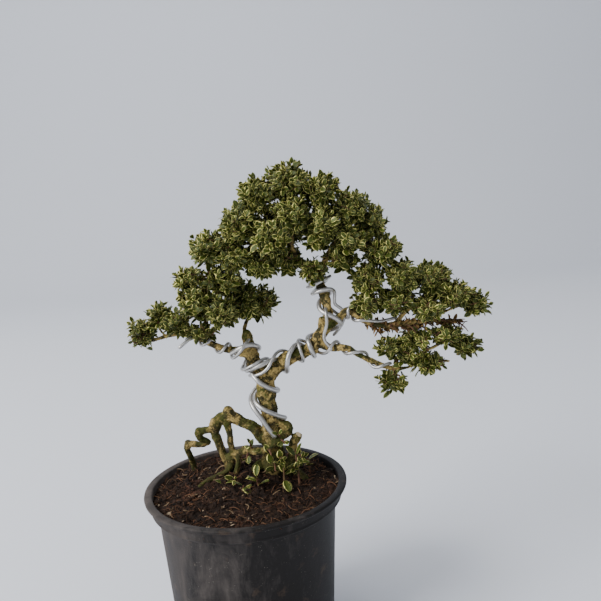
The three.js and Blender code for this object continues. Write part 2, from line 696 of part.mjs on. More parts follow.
function soilSolid(lift) {
  const gap = soilGap;
  const collarWall = rimRadius - flangeWidth - gap;
  const ringOf = (radius, heightAt) =>
    Array.from({ length: soilSides }, (_, i) => {
      const angle = (i / soilSides) * 2 * Math.PI;
      const [x, y] = [radius * Math.cos(angle), radius * Math.sin(angle)];
      return new THREE.Vector3(x, y, heightAt(x, y));
    });
  const rings = [
    ringOf(potBaseRadius - wallThickness - 2 * gap, () => floorThickness + gap),
    ringOf(bodyTopRadius - wallThickness - 2 * gap, () => ledgeHeight + gap),
    ringOf(collarWall - gap, () => potHeight - collarHeight + wallThickness / 2 + gap),
  ];
  for (let ring = soilRings; ring > 0; ring--) {
    const radius = ((collarWall - gap) * ring) / soilRings;
    rings.push(ringOf(radius, (x, y) => soilHeight(x, y) + lift));
  }
  return skinned(rings);
}

const group = new THREE.Group();

function addPiece(name, solid, material) {
  const body = mainBody(mainBody(solid).asOriginal().simplify(meshTolerance));
  const mesh = new THREE.Mesh(geometryOf(body), material);
  mesh.name = name;
  group.add(mesh);
}

const wireSolids = {};
const wiresGrown = [];
for (const [name, wire] of Object.entries(wires)) {
  const places = wirePlaces(wire);
  const rod = rodSolid(places, wire.radius);
  wireSolids[name] = wiresGrown.reduce((left, other) => left.subtract(other), rod);
  wiresGrown.push(rodSolid(places, wire.radius + treeGap));
}

// The wires bite into the bark, so the wood is cut back from them.
const wood = wiresGrown.reduce((left, other) => left.subtract(other), woodSolid(0));
const woodGrown = woodSolid(treeGap);
const taken = joined([woodGrown, ...wiresGrown]);

addPiece("pot", potSolid(), materials.pot);
addPiece("tree_wood", wood, materials.wood);
for (const [name, solid] of Object.entries(wireSolids)) addPiece(name, solid, materials.wire);

let soil = soilSolid(0).subtract(taken);
const soilRaised = soilSolid(treeGap);
let occupied = taken;
for (const [name, drawn] of Object.entries(sprouts)) {
  const [stem, leaves] = [lifted(drawn.stem), lifted(drawn.leaves)];
  const blades = joined(leaves.map(leafSolid)).subtract(soilRaised);
  const sprout = mainBody(joined([stemSolid(stem, 0), blades]).subtract(occupied));
  soil = soil.subtract(stemSolid(stem, treeGap));
  occupied = joined([occupied, stemSolid(stem, treeGap), ...leaves.map(leafSolid)]);
  addPiece(name, sprout, materials.leaf);
}
addPiece("soil", soil, materials.soil);

const sprays = {};
Object.entries(clumps).forEach(([name, size], index) => {
  sprays[name] = clumpSolid(size, index);
});
partClumps(sprays);
for (const [name, solid] of Object.entries(sprays)) {
  addPiece("foliage_" + name, solid.subtract(taken), materials.leaf);
}

export default group;
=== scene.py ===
"""A small wired bonsai in a plastic nursery pot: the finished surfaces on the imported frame. Metres, +Z up."""

import json
import math

import bpy
import numpy as np
from bpy.props import FloatProperty, FloatVectorProperty, IntProperty, PointerProperty
from mathutils import Matrix, Vector, noise
from mathutils.kdtree import KDTree

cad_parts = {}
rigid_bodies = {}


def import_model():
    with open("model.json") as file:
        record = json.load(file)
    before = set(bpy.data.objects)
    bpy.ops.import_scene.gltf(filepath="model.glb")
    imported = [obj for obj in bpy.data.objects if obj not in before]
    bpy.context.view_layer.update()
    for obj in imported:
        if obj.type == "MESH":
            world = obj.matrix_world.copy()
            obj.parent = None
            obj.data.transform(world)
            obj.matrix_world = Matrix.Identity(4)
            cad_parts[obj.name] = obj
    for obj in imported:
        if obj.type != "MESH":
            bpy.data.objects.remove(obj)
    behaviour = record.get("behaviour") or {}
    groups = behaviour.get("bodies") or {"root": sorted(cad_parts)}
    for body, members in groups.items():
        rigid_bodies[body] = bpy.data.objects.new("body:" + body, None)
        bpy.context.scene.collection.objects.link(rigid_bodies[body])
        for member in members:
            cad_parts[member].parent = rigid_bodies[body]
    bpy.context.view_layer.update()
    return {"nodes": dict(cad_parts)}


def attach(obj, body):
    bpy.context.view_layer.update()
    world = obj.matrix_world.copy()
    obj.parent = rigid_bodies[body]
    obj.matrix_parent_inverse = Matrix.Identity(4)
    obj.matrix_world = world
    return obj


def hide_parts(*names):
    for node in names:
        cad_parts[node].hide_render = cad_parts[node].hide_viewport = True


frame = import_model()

bl_info = {
    "name": "Wired bonsai in a nursery pot",
    "version": (1, 0, 0),
    "blender": (4, 2, 0),
    "location": "View3D > Sidebar > Bonsai",
    "description": "Builds the pot, soil, tree, wires and leaves of a small bonsai",
    "category": "Object",
}

MM = 0.001

# The soil: the height of its edge, and its mound's place, width and height, in millimetres.
SOIL_EDGE = 104
MOUND_PLACE = (-4, 12)
MOUND_WIDTH = 26
MOUND_HEIGHT = 8
SOIL_LUMP = 0.7

# How many shapes each scattered set has, and how many tuft tips are tried in each spray.
SHAPES = 6
SPRAY_TRIES = 1900
WIRE_SIDES = 14
POT_SIDES = 160
DRAIN_HOLES = 6
DRAIN_SIDES = 24
DRAIN_RADIUS = 0.004
DRAIN_CIRCLE = 0.033

# Limbs of the tree: stations of x, y, z and radius in millimetres, from the root of each limb to its tip.
BURIED = SOIL_EDGE - 24
FOOT = 1.6
LIMBS = {
    "trunk": [
        (14, 12, BURIED, 4), (17, 12, 105, 7.5), (18, 11, 118, 6.8), (18, 10, 131, 6), (17, 10, 141, 5.6),
        (17, 10, 150, 5.5), (16, 10, 163, 5.9), (16, 10, 174, 6.3),
    ],
    "left_limb": [(16, 10, 172, 6), (12, 10, 178, 5.2), (9, 10, 184, 4.7), (8, 9, 190, 4.2), (7, 9, 198, 3.7)],
    "left_branch": [
        (7, 9, 188, 3.4), (-1, 8, 190, 2.6), (-8, 8, 192, 2.2), (-16, 7, 196, 2.1), (-22, 6, 200, 1.9),
        (-31, 6, 203.5, 1.6), (-38, 6, 203, 1.5), (-48, 5, 201, 1.3), (-58, 5, 200, 1),
    ],
    "left_twig": [(-42, 6, 202, 1), (-45, 5, 207, 0.8), (-46, 5, 211, 0.7)],
    "left_pad_up": [(-15, 7, 195.5, 1.4), (-18, 9, 206, 1.3), (-15, 10, 220, 1.1), (-16, 10, 232, 0.8)],
    "left_pad_back": [(7, 10, 192, 2), (5, 17, 201, 1.5), (8, 25, 208, 1.1), (12, 29, 213, 0.8)],
    "right_limb": [
        (17, 10, 172, 6), (24, 10, 178, 5), (33, 10, 183.5, 4.5), (41, 10, 186, 4.2), (47, 9, 189.5, 4),
        (51, 9, 195, 3.8), (56, 9, 201, 3.6), (63, 9, 205.5, 3.2), (70, 9, 210, 2.8), (75, 9, 207, 2.5),
        (82, 9, 202, 2.3), (90, 9, 199.5, 2.1), (107, 9, 200, 1.8), (122, 9, 200.5, 1.4), (136, 9, 199, 1),
    ],
    "elbow_stub": [(54, 9, 199, 3.2), (53.5, 8, 203, 2.5), (53, 8, 206, 1.8)],
    "upright": [
        (55, 9, 201, 3.5), (57.5, 9, 208, 3.1), (57, 9, 214, 3.1), (56, 9, 222, 3), (53, 10, 228, 3),
        (50, 10, 233, 2.6),
    ],
    "crown_left": [
        (52, 10, 230, 2.6), (46, 11, 237, 2.3), (41, 11, 243, 2), (34, 12, 249, 1.8), (22, 12, 253, 1.5),
        (8, 11, 255, 1.2), (-6, 10, 253, 0.9),
    ],
    "crown_right": [
        (53, 10, 229, 2.6), (56, 11, 237, 2.3), (59, 11, 244, 2), (65, 12, 252, 1.7), (70, 11, 262, 1.3),
        (69, 10, 271, 0.9),
    ],
    "crown_top": [(41, 11, 242, 1.8), (38, 10, 254, 1.6), (41, 12, 267, 1.3), (40, 10, 281, 0.9)],
    "crown_far": [(64, 12, 250, 1.5), (76, 12, 250, 1.2), (88, 11, 248, 0.8)],
    "right_pad_near": [(74, 9, 207, 1.8), (82, 10, 215, 1.4), (88, 10, 226, 0.9)],
    "right_pad_far": [(98, 9, 199.5, 1.6), (105, 9, 207, 1.4), (117, 9, 216, 1.2), (126, 9, 224, 0.8)],
    "right_pad_tip": [(118, 9, 200.5, 1.2), (130, 9, 206, 1), (143, 9, 210, 0.7)],
    "lower_limb": [
        (51, 9, 192, 3.2), (56, 8, 188.5, 2.7), (62, 7, 188, 2.4), (68, 7, 187, 2.2), (75, 6, 182.5, 1.9),
        (86, 6, 176.5, 1.7), (95, 6, 172.5, 1.5),
    ],
    "lower_rise": [(94, 6, 173, 1.3), (100, 6, 176, 1.2), (110, 6, 180, 1.1), (121, 5, 185, 1), (130, 5, 189, 0.8)],
    "lower_reach": [(94, 6, 173, 1.3), (103, 6, 172.5, 1.1), (115, 6, 176, 1), (130, 6, 175, 0.8)],
    "arch_root": [
        (17, 11, 128, 4.4), (11, 11, 132, 4), (7, 11, 138.5, 3.8), (0, 12, 142.5, 3.8), (-9, 13, 147, 3.9),
        (-16, 14, 144, 3.7), (-19, 15, 138, 3.3), (-17, 15, 129, 2.8), (-14, 15, 119, 2.5),
        (-12, 15, 110, 2.3), (-12, 14, 101, FOOT),
    ],
    "arch_strand": [
        (-11, 12, 144, 2.4), (-9, 11, 136, 2.3), (-9, 11, 129, 2.3), (-8, 11, 121, 2.3), (-11, 11, 113, 2),
        (-12, 9, 101, FOOT),
    ],
    "zigzag_root": [
        (-17, 14, 140, 2.8), (-23, 15, 138, 2.3), (-28, 15, 137, 2.3), (-29, 16, 133, 2.1), (-24, 17, 129, 2.1),
        (-29, 19, 127, 2.1), (-37, 21, 127, 2.1), (-39, 23, 123, 2.1), (-38, 25, 118, 2), (-37, 28, 111, 1.9),
        (-36, 29, 100, FOOT),
    ],
    "front_root": [
        (-9, 11, 117, 1.9), (-12, 9, 112.5, 1.9), (-18, 6, 110.5, 1.8), (-24, 3, 109, 1.8), (-29, 0, 106.5, 1.7),
        (-36, -4, 101, FOOT),
    ],
    "middle_root": [(0, 10, 126, 2.2), (-4, 9, 122, 2), (-5, 7, 116, 1.9), (-7, 6, 110, 1.8), (-8, 4, 101, FOOT)],
    "loop_root": [
        (19, 10, 142, 3.2), (25, 9, 140.5, 2.9), (28, 8, 136.5, 2.8), (24, 6, 133.5, 2.7), (19, 4, 130, 2.7),
        (13, 3, 126.5, 2.6), (6, 5, 125.5, 2.5), (-1, 8, 125, 2.4), (-8, 11, 122, 2.3),
    ],
    "cut_stub": [(24, 12, 101, 3), (28, 11, 112, 2.9), (30, 10, 122, 2.8), (31, 9, 128, 2.9), (34, 7, 133, 3.1)],
    "back_root": [(18, 13, 122, 3.6), (22, 20, 115, 2.8), (25, 28, 107, 2.2), (28, 34, 98, FOOT)],
    "right_root": [(19, 11, 119, 3.2), (30, 8, 111, 2.4), (38, 5, 104, 1.9), (42, 3, 98, FOOT)],
    "left_root": [(15, 11, 118, 3.4), (6, 10, 112, 2.8), (0, 7, 106, 2.2), (-4, 4, 98, FOOT)],
}
# Knots swell the wood where limbs part or a root turns: x, y, z and radius.
KNOTS = [
    (16, 9, 172, 6.9), (9, 9, 186, 5), (55, 9, 201, 4.1), (47, 9, 189, 4.4), (-9, 13, 148, 4.7),
    (-18, 14, 141, 4.3), (-29, 15, 136, 3.2), (28, 8, 138, 3.6), (18, 11, 129, 6.6), (7, 9, 198, 3.9),
    (-38, 22, 126, 2.9), (-10, 12, 119, 3.4), (56, 9, 221, 3.6),
]
# Limbs that grow no twigs, and the height under which none do.
BARE = ("trunk", "left_limb", "elbow_stub", "upright", "cut_stub")
CROWN_BOTTOM = 165

# Wires: a guide, the wire's radius, rows of (station of the guide, turns round it), and the free ends.
# At 0 turns the wire lies in front. A quarter of a turn is right of a limb that rises, and under one that
# goes right.
THICK = 1.5
THIN = 1.0
TRUNK_UP = LIMBS["trunk"][2:-1]
GUIDES = {
    "upright": TRUNK_UP + LIMBS["right_limb"][1:6] + LIMBS["upright"][1:],
    "stub": TRUNK_UP + LIMBS["left_limb"][1:],
    "left_branch": TRUNK_UP[4:] + LIMBS["left_limb"][1:3] + LIMBS["left_branch"][1:],
    "lower": TRUNK_UP[4:] + LIMBS["right_limb"][1:5] + LIMBS["lower_limb"][1:],
    "right_end": LIMBS["right_limb"][3:],
    "top": LIMBS["right_limb"][4:6] + LIMBS["upright"][1:],
}
WIRES = {
    "wire_trunk_right": (
        "upright", THICK,
        [
            (1.9, 0.5), (2.35, 0.25), (3.15, 0), (3.72, -0.25), (3.95, -0.5), (4.12, -0.75), (4.25, -1), (4.5, -1.25),
            (4.8, -1.5), (5.15, -1.75), (5.7, -2), (6.7, -2.25), (7.15, -2.5), (7.6, -2.75), (7.85, -3), (8.4, -3.25),
            (9.1, -3.5), (9.8, -3.75), (10.15, -4), (11.2, -4.25), (11.7, -4.5), (12, -4.75), (12.3, -5),
            (12.5, -5.25), (12.8, -5.5), (13, -5.75), (13.25, -6), (13.45, -6.25), (13.7, -6.5),
        ],
        [],
    ),
    "wire_trunk_left": (
        "stub", THICK,
        [
            (1.4, 0.04), (2.4, -0.07), (3, -0.14), (3.65, -0.25), (4.25, -0.5), (5.1, -0.75), (5.25, -1),
            (5.4, -1.25), (6, -1.5), (7, -1.75), (7.7, -2), (7, -2.25),
        ],
        [],
    ),
    "wire_lower": (
        "lower", THIN,
        [
            (0.3, -0.25), (0.5, -0.1), (0.85, -0.05), (1.2, -0.1), (1.6, -0.25), (2, -0.5), (2.75, -0.75),
            (2.87, -1), (3, -1.25), (3.7, -1.5), (4.6, -1.75), (5.3, -2), (5.8, -2.25), (6.3, -2.5), (6.9, -2.75),
            (7.5, -3), (8.2, -3.25), (8.5, -3.5), (8.8, -3.75), (9.2, -4), (9.75, -4.25),
        ],
        [],
    ),
    "wire_left_branch": (
        "left_branch", THIN,
        [
            (0.6, -0.5), (1.5, -0.75), (1.62, -1), (1.75, -1.25), (2.2, -1.5), (2.6, -1.75), (2.9, -2), (3.15, -2.25),
            (3.4, -2.5), (3.7, -2.75), (4, -3), (4.3, -3.25), (4.65, -3.5), (5, -3.75), (5.3, -4), (5.6, -4.25),
            (5.9, -4.5), (6.2, -4.75),
        ],
        [(-28, 0, 200), (-33, -2, 196.5)],
    ),
    "wire_right_end": (
        "right_end", THIN,
        [
            (0.9, 0.5), (1.5, 0.25), (2.1, 0.06), (2.9, 0), (3.4, -0.06), (3.9, -0.25), (4.25, -0.5), (4.6, -0.75),
            (4.9, -1), (5.25, -1.25), (5.6, -1.5), (6, -1.75), (6.4, -2), (7.2, -2.1), (8, -2.15), (8.5, -2.25),
        ],
        [],
    ),
    "wire_upright": (
        "top", THIN,
        [
            (1.3, 0.35), (2.1, 0.25), (3, 0.25), (4, 0.2), (4.3, 0), (4.5, -0.25), (4.8, -0.5), (5, -0.75), (5.2, -1),
            (5.4, -1.25),
        ],
        [],
    ),
}

# Sprouts at the foot: a stem, and leaves as x, y, z, length, heading and rise in degrees.
SPROUTS = {
    "sprout_front": (
        [(9, -8, 99), (8, -7, 107), (7, -6, 113)],
        [(7, -6, 112, 9, 240, 40), (8, -7, 108, 9, 330, 35), (7, -6, 113, 8, 80, 55), (8, -7, 110, 8, 170, 20)],
    ),
    "sprout_low_left": (
        [(-3, -10, 98), (-2, -9, 105), (-1, -8, 109)],
        [(-1, -8, 108, 8, 300, 0), (-1, -8, 109, 8, 200, 30), (-2, -9, 106, 7, 20, 15)],
    ),
    "sprout_right": (
        [(24, -7, 98), (24, -6, 108), (24, -4, 117)],
        [
            (24, -4, 116, 9, 330, 30), (24, -4, 117, 8, 200, 40), (24, -5, 113, 9, 20, 10),
            (24, -6, 110, 10, 290, -20), (24, -5, 114, 8, 120, 50),
        ],
    ),
    "sprout_high": (
        [(33, -4, 98), (33, -3, 112), (32, -2, 124)],
        [
            (32, -2, 123, 9, 150, 40), (32, -2, 124, 8, 20, 50), (33, -3, 118, 9, 330, 20),
            (33, -3, 114, 8, 210, 30),
        ],
    ),
    "sprout_left": (
        [(-15, -4, 98), (-14, -3, 105), (-13, -3, 109)],
        [(-13, -3, 108, 7, 160, 25), (-13, -3, 109, 7, 330, 30)],
    ),
    "sprout_back_right": (
        [(40, 14, 97), (40, 14, 107), (39, 13, 115)],
        [(39, 13, 114, 8, 0, 40), (39, 13, 115, 8, 180, 45), (40, 14, 110, 8, 270, 20)],
    ),
}
# Limbs that carry dead twigs, and the x in millimetres past which these start.
DRY_LIMBS = {"right_limb": 80, "lower_limb": 104}
# Short shoots on the old wood round the foot, each with the sprout it belongs to.
SHOOTS = [
    ("sprout_right", (26, -1, 132)), ("sprout_front", (17, -3, 125.5)), ("sprout_right", (24, -5, 122)),
    ("sprout_low_left", (-6.5, -5, 112)), ("sprout_front", (4, 3, 131.5)), ("sprout_right", (25.5, 8, 146)),
    ("sprout_high", (31, -4, 116.5)), ("sprout_high", (36, 1, 121)), ("sprout_right", (19, -7, 117)),
    ("sprout_right", (22, 1, 137)), ("sprout_front", (1, 2, 122)),
]


# Settings


class PotSettings(bpy.types.PropertyGroup):
    height: FloatProperty(name="Height", description="Height of the pot", default=0.108, unit="LENGTH")
    rim_radius: FloatProperty(
        name="Rim radius", description="Outer radius of the flange", default=0.0625, unit="LENGTH"
    )
    flange: FloatProperty(name="Flange", description="Width of the flat flange", default=0.005, unit="LENGTH")
    body_radius: FloatProperty(
        name="Body radius", description="Radius under the collar", default=0.055, unit="LENGTH"
    )
    collar: FloatProperty(name="Collar", description="Height of the collar", default=0.009, unit="LENGTH")
    taper: FloatProperty(name="Taper", description="Radius lost for each metre down", default=0.068)
    colour: FloatVectorProperty(
        name="Plastic", description="Colour of the clean plastic",
        default=(0.0105, 0.0088, 0.0082), size=3, subtype="COLOR",
    )
    dust: FloatVectorProperty(
        name="Dust", description="Colour of the dried soil and dust",
        default=(0.125, 0.107, 0.097), size=3, subtype="COLOR",
    )


class SoilSettings(bpy.types.PropertyGroup):
    crumbs: IntProperty(name="Crumbs", description="Soil crumbs for each square metre", default=420000)
    fibres: IntProperty(name="Fibres", description="Loose fibres for each square metre", default=110000)
    chips: IntProperty(name="Chips", description="Pale chips for each square metre", default=6500)
    sticks: IntProperty(name="Sticks", description="Dry bits of stick for each square metre", default=9000)
    crumb_size: FloatProperty(name="Crumb size", description="Size of a crumb", default=0.0011, unit="LENGTH")
    dark: FloatVectorProperty(
        name="Wet soil", description="Colour in the hollows",
        default=(0.007, 0.0045, 0.0035), size=3, subtype="COLOR",
    )
    light: FloatVectorProperty(
        name="Dry soil", description="Colour of the dry crumbs",
        default=(0.036, 0.019, 0.011), size=3, subtype="COLOR",
    )


class TreeSettings(bpy.types.PropertyGroup):
    detail: FloatProperty(name="Detail", description="Grid size of the wood's skin", default=0.00055, unit="LENGTH")
    bark_depth: FloatProperty(name="Bark depth", description="Depth of the fissures", default=0.0011, unit="LENGTH")
    bark: FloatVectorProperty(
        name="Bark", description="Colour of the bark",
        default=(0.44, 0.31, 0.1), size=3, subtype="COLOR",
    )
    moss: FloatVectorProperty(
        name="Moss", description="Colour of the moss",
        default=(0.05, 0.062, 0.008), size=3, subtype="COLOR",
    )
    wire: FloatVectorProperty(
        name="Wire", description="Colour of the aluminium",
        default=(0.56, 0.545, 0.52), size=3, subtype="COLOR",
    )
    seed: IntProperty(name="Seed", description="Seed of the twigs and leaves", default=7)


class LeafSettings(bpy.types.PropertyGroup):
    length: FloatProperty(name="Length", description="Length of a full leaf", default=0.0064, unit="LENGTH")
    spacing: FloatProperty(name="Spacing", description="Distance between tufts", default=0.00465, unit="LENGTH")
    more: IntProperty(name="More pairs", description="Most pairs of leaves over a tuft's fewest", default=2)
    dry: IntProperty(name="Dead twigs", description="Dead twigs under the right-hand limbs", default=70)
    green: FloatVectorProperty(
        name="Green", description="Colour of a leaf's middle",
        default=(0.036, 0.052, 0.004), size=3, subtype="COLOR",
    )
    cream: FloatVectorProperty(
        name="Cream", description="Colour of a leaf's margin",
        default=(0.85, 0.78, 0.24), size=3, subtype="COLOR",
    )


# Shapes


def new_object(name, verts, faces, material=None, smooth=True):
    mesh = bpy.data.meshes.new(name)
    mesh.from_pydata([tuple(v) for v in verts], [], [tuple(f) for f in faces])
    mesh.update()
    obj = bpy.data.objects.new(name, mesh)
    bpy.context.scene.collection.objects.link(obj)
    if material:
        mesh.materials.append(material)
    mesh.polygons.foreach_set("use_smooth", [smooth] * len(mesh.polygons))
    return obj


def baked(obj, name):
    """The object with its modifiers applied, as a new plain object; the old one is removed."""
    graph = bpy.context.evaluated_depsgraph_get()
    graph.update()
    mesh = bpy.data.meshes.new_from_object(obj.evaluated_get(graph), preserve_all_data_layers=True, depsgraph=graph)
    mesh.name = name
    materials = list(obj.data.materials)
    old = obj.data
    bpy.data.objects.remove(obj)
    if not mesh.materials and materials:
        mesh.materials.append(materials[0])
    made = bpy.data.objects.new(name, mesh)
    bpy.context.scene.collection.objects.link(made)
    if old.users == 0:
        bpy.data.meshes.remove(old)
    return made


def finished(obj, slot, *nodes):
    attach(obj, "root")
    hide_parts(*nodes)


def curve_points(stations, steps):
    """Points, tangents and radii on a centripetal curve through the stations, in metres."""
    places = np.array([s[:3] for s in stations], float) * MM
    radii = np.array([s[3] if len(s) > 3 else 0 for s in stations], float) * MM
    last = len(places) - 1
    before, after = 2 * places[0] - places[1], 2 * places[last] - places[last - 1]
    ring = np.vstack([before, places, after])

    def at(u):
        i = min(int(u), last - 1)
        w = u - i
        p = ring[i : i + 4]
        d = [max(np.linalg.norm(p[k + 1] - p[k]) ** 0.5, 1e-6) for k in range(3)]
        m1 = ((p[1] - p[0]) / d[0] - (p[2] - p[0]) / (d[0] + d[1]) + (p[2] - p[1]) / d[1]) * d[1]
        m2 = ((p[2] - p[1]) / d[1] - (p[3] - p[1]) / (d[1] + d[2]) + (p[3] - p[2]) / d[2]) * d[1]
        a, b = p[2] - p[1], m1 + m2
        return p[1] + m1 * w + (3 * a - m1 - b) * w * w + (b - 2 * a) * w**3

    count = last * steps
    us = [k * last / count for k in range(count + 1)]
    points = np.array([at(u) for u in us])
    return points, directions(points), np.interp(us, range(last + 1), radii)


def directions(points):
    tangents = np.gradient(points, axis=0)
    return tangents / np.maximum(np.linalg.norm(tangents, axis=1, keepdims=True), 1e-12)


def fronts(tangents):
    """For each tangent a direction across it, turned as little as possible from the one before."""
    front = np.array((0.0, -1.0, 0.0))
    rows = []
    for t in tangents:
        front = front - t * front.dot(t)
        front = front / np.linalg.norm(front)
        rows.append(front)
    rows = np.array(rows)
    return rows, np.cross(tangents, rows)


def tube(points, radii, sides):
    """Vertices and faces of a closed tube with rounded ends."""
    tangents = directions(points)
    points, radii = list(points), list(radii)
    head, tail = [], []
    for lift, share in ((0.85, 0.35), (0.55, 0.75)):
        head.append((points[0] - tangents[0] * radii[0] * lift, radii[0] * share))
        tail.insert(0, (points[-1] + tangents[-1] * radii[-1] * lift, radii[-1] * share))
    rows = head + list(zip(points, radii)) + tail
    centres = np.array([r[0] for r in rows])
    widths = np.array([r[1] for r in rows])
    across, side = fronts(directions(centres))
    angles = np.arange(sides) * 2 * math.pi / sides
    outward = np.cos(angles)[None, :, None] * across[:, None] + np.sin(angles)[None, :, None] * side[:, None]
    rings = centres[:, None] + widths[:, None, None] * outward
    verts = [tuple(v) for v in rings.reshape(-1, 3)]
    faces = []
    for row in range(len(rows) - 1):
        for k in range(sides):
            n = (k + 1) % sides
            a, b = row * sides, (row + 1) * sides
            faces.append((a + k, a + n, b + n, b + k))
    faces.append(tuple(reversed(range(sides))))
    faces.append(tuple(range((len(rows) - 1) * sides, len(rows) * sides)))
    return verts, faces


def merged(shapes):
    verts, faces = [], []
    for shape_verts, shape_faces in shapes:
        base = len(verts)
        verts += shape_verts
        faces += [tuple(i + base for i in f) for f in shape_faces]
    return verts, faces


def fbm(x, y, z, octaves=4):
    return noise.fractal(Vector((x, y, z)), 0.6, 2.1, octaves, noise_basis="PERLIN_ORIGINAL")


# Materials


class Nodes:
    """A short way to write a material's node tree."""

    def __init__(self, name):
        self.material = bpy.data.materials.new(name)
        self.material.use_nodes = True
        self.tree = self.material.node_tree
        self.shader = self.tree.nodes["Principled BSDF"]

    def node(self, kind, values=None, **links):
        made = self.tree.nodes.new(kind)
        for key, value in (values or {}).items():
            if key in made.inputs:
                made.inputs[key].default_value = value
            else:
                setattr(made, key, value)
        for key, source in links.items():
            self.link(source, made.inputs[key.replace("_", " ")])
        return made

    def link(self, source, target):
        self.tree.links.new(source, target)

    def coords(self):
        return self.node("ShaderNodeTexCoord").outputs["Object"]

    def scaled(self, vector, scale):
        made = self.node("ShaderNodeMapping", {"Scale": scale}, Vector=vector)
        return made.outputs["Vector"]

    def noise(self, vector, scale, detail=5.0, rough=0.6, distort=0.0):
        values = {"Scale": scale, "Detail": detail, "Roughness": rough, "Distortion": distort}
        return self.node("ShaderNodeTexNoise", values, Vector=vector).outputs["Fac"]

    def cells(self, vector, scale):
        made = self.node("ShaderNodeTexVoronoi", {"Scale": scale}, Vector=vector)
        return made.outputs["Distance"]

    def attribute(self, name):
        return self.node("ShaderNodeAttribute", {"attribute_name": name}).outputs["Fac"]

    def ramp(self, source, low, high, start=0.0, end=1.0):
        values = {"From Min": low, "From Max": high, "To Min": start, "To Max": end}
        return self.node("ShaderNodeMapRange", values, Value=source).outputs["Result"]

    def math(self, operation, a, b):
        made = self.node("ShaderNodeMath", {"operation": operation})
        for socket, value in zip(made.inputs, (a, b)):
            if isinstance(value, (int, float)):
                socket.default_value = value
            else:
                self.link(value, socket)
        return made.outputs["Value"]

    def mix(self, factor, a, b):
        made = self.node("ShaderNodeMix", {"data_type": "RGBA"})
        factor_socket, a_socket, b_socket = made.inputs[0], made.inputs[6], made.inputs[7]
        for socket, value in ((factor_socket, factor), (a_socket, a), (b_socket, b)):
            if isinstance(value, (int, float)):
                socket.default_value = value
            elif isinstance(value, bpy.types.NodeSocket):
                self.link(value, socket)
            else:
                socket.default_value = (*value, 1)
        return made.outputs[2]

    def bump(self, height, strength, distance):
        made = self.node("ShaderNodeBump", {"Strength": strength, "Distance": distance}, Height=height)
        self.link(made.outputs["Normal"], self.shader.inputs["Normal"])

    def finish(self, colour, roughness, metallic=0.0, specular=0.5):
        for name, value in (("Base Color", colour), ("Roughness", roughness)):
            socket = self.shader.inputs[name]
            if isinstance(value, bpy.types.NodeSocket):
                self.link(value, socket)
            elif name == "Base Color":
                socket.default_value = (*value, 1)
            else:
                socket.default_value = value
        self.shader.inputs["Metallic"].default_value = metallic
        self.shader.inputs["Specular IOR Level"].default_value = specular
        return self.material


def plastic_material(pot):
    n = Nodes("dusty_plastic")
    place = n.coords()
    film = n.noise(place, 28, 6, 0.65)
    streaks = n.noise(n.scaled(place, (1, 1, 0.12)), 160, 5, 0.7)
    smears = n.noise(n.scaled(place, (1, 1, 0.35)), 60, 7, 0.72, 0.6)
    split = n.node("ShaderNodeSeparateXYZ", Vector=place)
    high = n.ramp(split.outputs["Z"], 0.0, pot.height, 0.1, 0.42)
    # Painted light and shade: the dust thickens towards the left, where the light falls, and thins to dark bare
    # plastic towards the right, which is in shadow.
    left = n.ramp(split.outputs["X"], -pot.rim_radius, pot.rim_radius, 0.45, -0.6)
    dust_and_painted_shade = n.math("ADD", n.ramp(film, 0.3, 0.75, -0.1, 0.5), n.ramp(smears, 0.35, 0.75, -0.25, 0.55))
    dust_and_painted_shade = n.math("ADD", dust_and_painted_shade, high)
    dust_and_painted_shade = n.math("ADD", dust_and_painted_shade, left)
    dust_and_painted_shade = n.math("ADD", dust_and_painted_shade, n.ramp(streaks, 0.35, 0.7, -0.14, 0.14))
    dust_and_painted_shade = n.ramp(dust_and_painted_shade, 0.3, 1.5, 0.0, 0.95)
    colour = n.mix(dust_and_painted_shade, tuple(pot.colour), tuple(pot.dust))
    rust = n.ramp(n.noise(place, 90, 4, 0.6), 0.62, 0.78, 0, 0.35)
    colour = n.mix(rust, colour, (0.16, 0.10, 0.06))
    grit = n.ramp(n.cells(place, 900), 0.0, 0.22, 1, 0)
    sparse = n.ramp(n.noise(place, 240, 3, 0.5), 0.56, 0.66, 0, 1)
    colour = n.mix(n.math("MULTIPLY", n.math("MULTIPLY", grit, sparse), 0.75), colour, (0.42, 0.38, 0.31))
    pits = n.ramp(n.cells(n.scaled(place, (1, 1, 0.8)), 420), 0.0, 0.2, 1, 0)
    few = n.ramp(n.noise(place, 130, 2, 0.5), 0.58, 0.7, 0, 1)
    colour = n.mix(n.math("MULTIPLY", n.math("MULTIPLY", pits, few), 0.7), colour, (0.016, 0.014, 0.013))
    n.bump(n.math("ADD", n.noise(place, 700, 4, 0.7), n.math("MULTIPLY", streaks, 0.8)), 0.35, 0.0004)
    return n.finish(colour, n.ramp(dust_and_painted_shade, 0.1, 0.7, 0.5, 0.85), 0.0, 0.15)


def soil_material(soil):
    n = Nodes("peaty_soil")
    place = n.coords()
    grain = n.noise(place, 260, 6, 0.7)
    patch = n.noise(place, 40, 4, 0.6)
    colour = n.mix(n.ramp(grain, 0.3, 0.72), tuple(soil.dark), tuple(soil.light))
    colour = n.mix(n.ramp(patch, 0.52, 0.72, 0, 0.55), colour, (0.13, 0.05, 0.028))
    n.bump(n.noise(place, 900, 5, 0.75), 0.8, 0.0008)
    return n.finish(colour, 0.94, 0.0, 0.25)


def crumb_material(name, dark, light, gloss=0.2):
    n = Nodes(name)
    place = n.coords()
    colour = n.mix(n.attribute("tint"), dark, light)
    colour = n.mix(n.ramp(n.noise(place, 700, 4, 0.7), 0.35, 0.7, 0.0, 0.5), colour, dark)
    n.bump(n.noise(place, 1500, 4, 0.7), 0.6, 0.0004)
    return n.finish(colour, 0.9, 0.0, gloss)


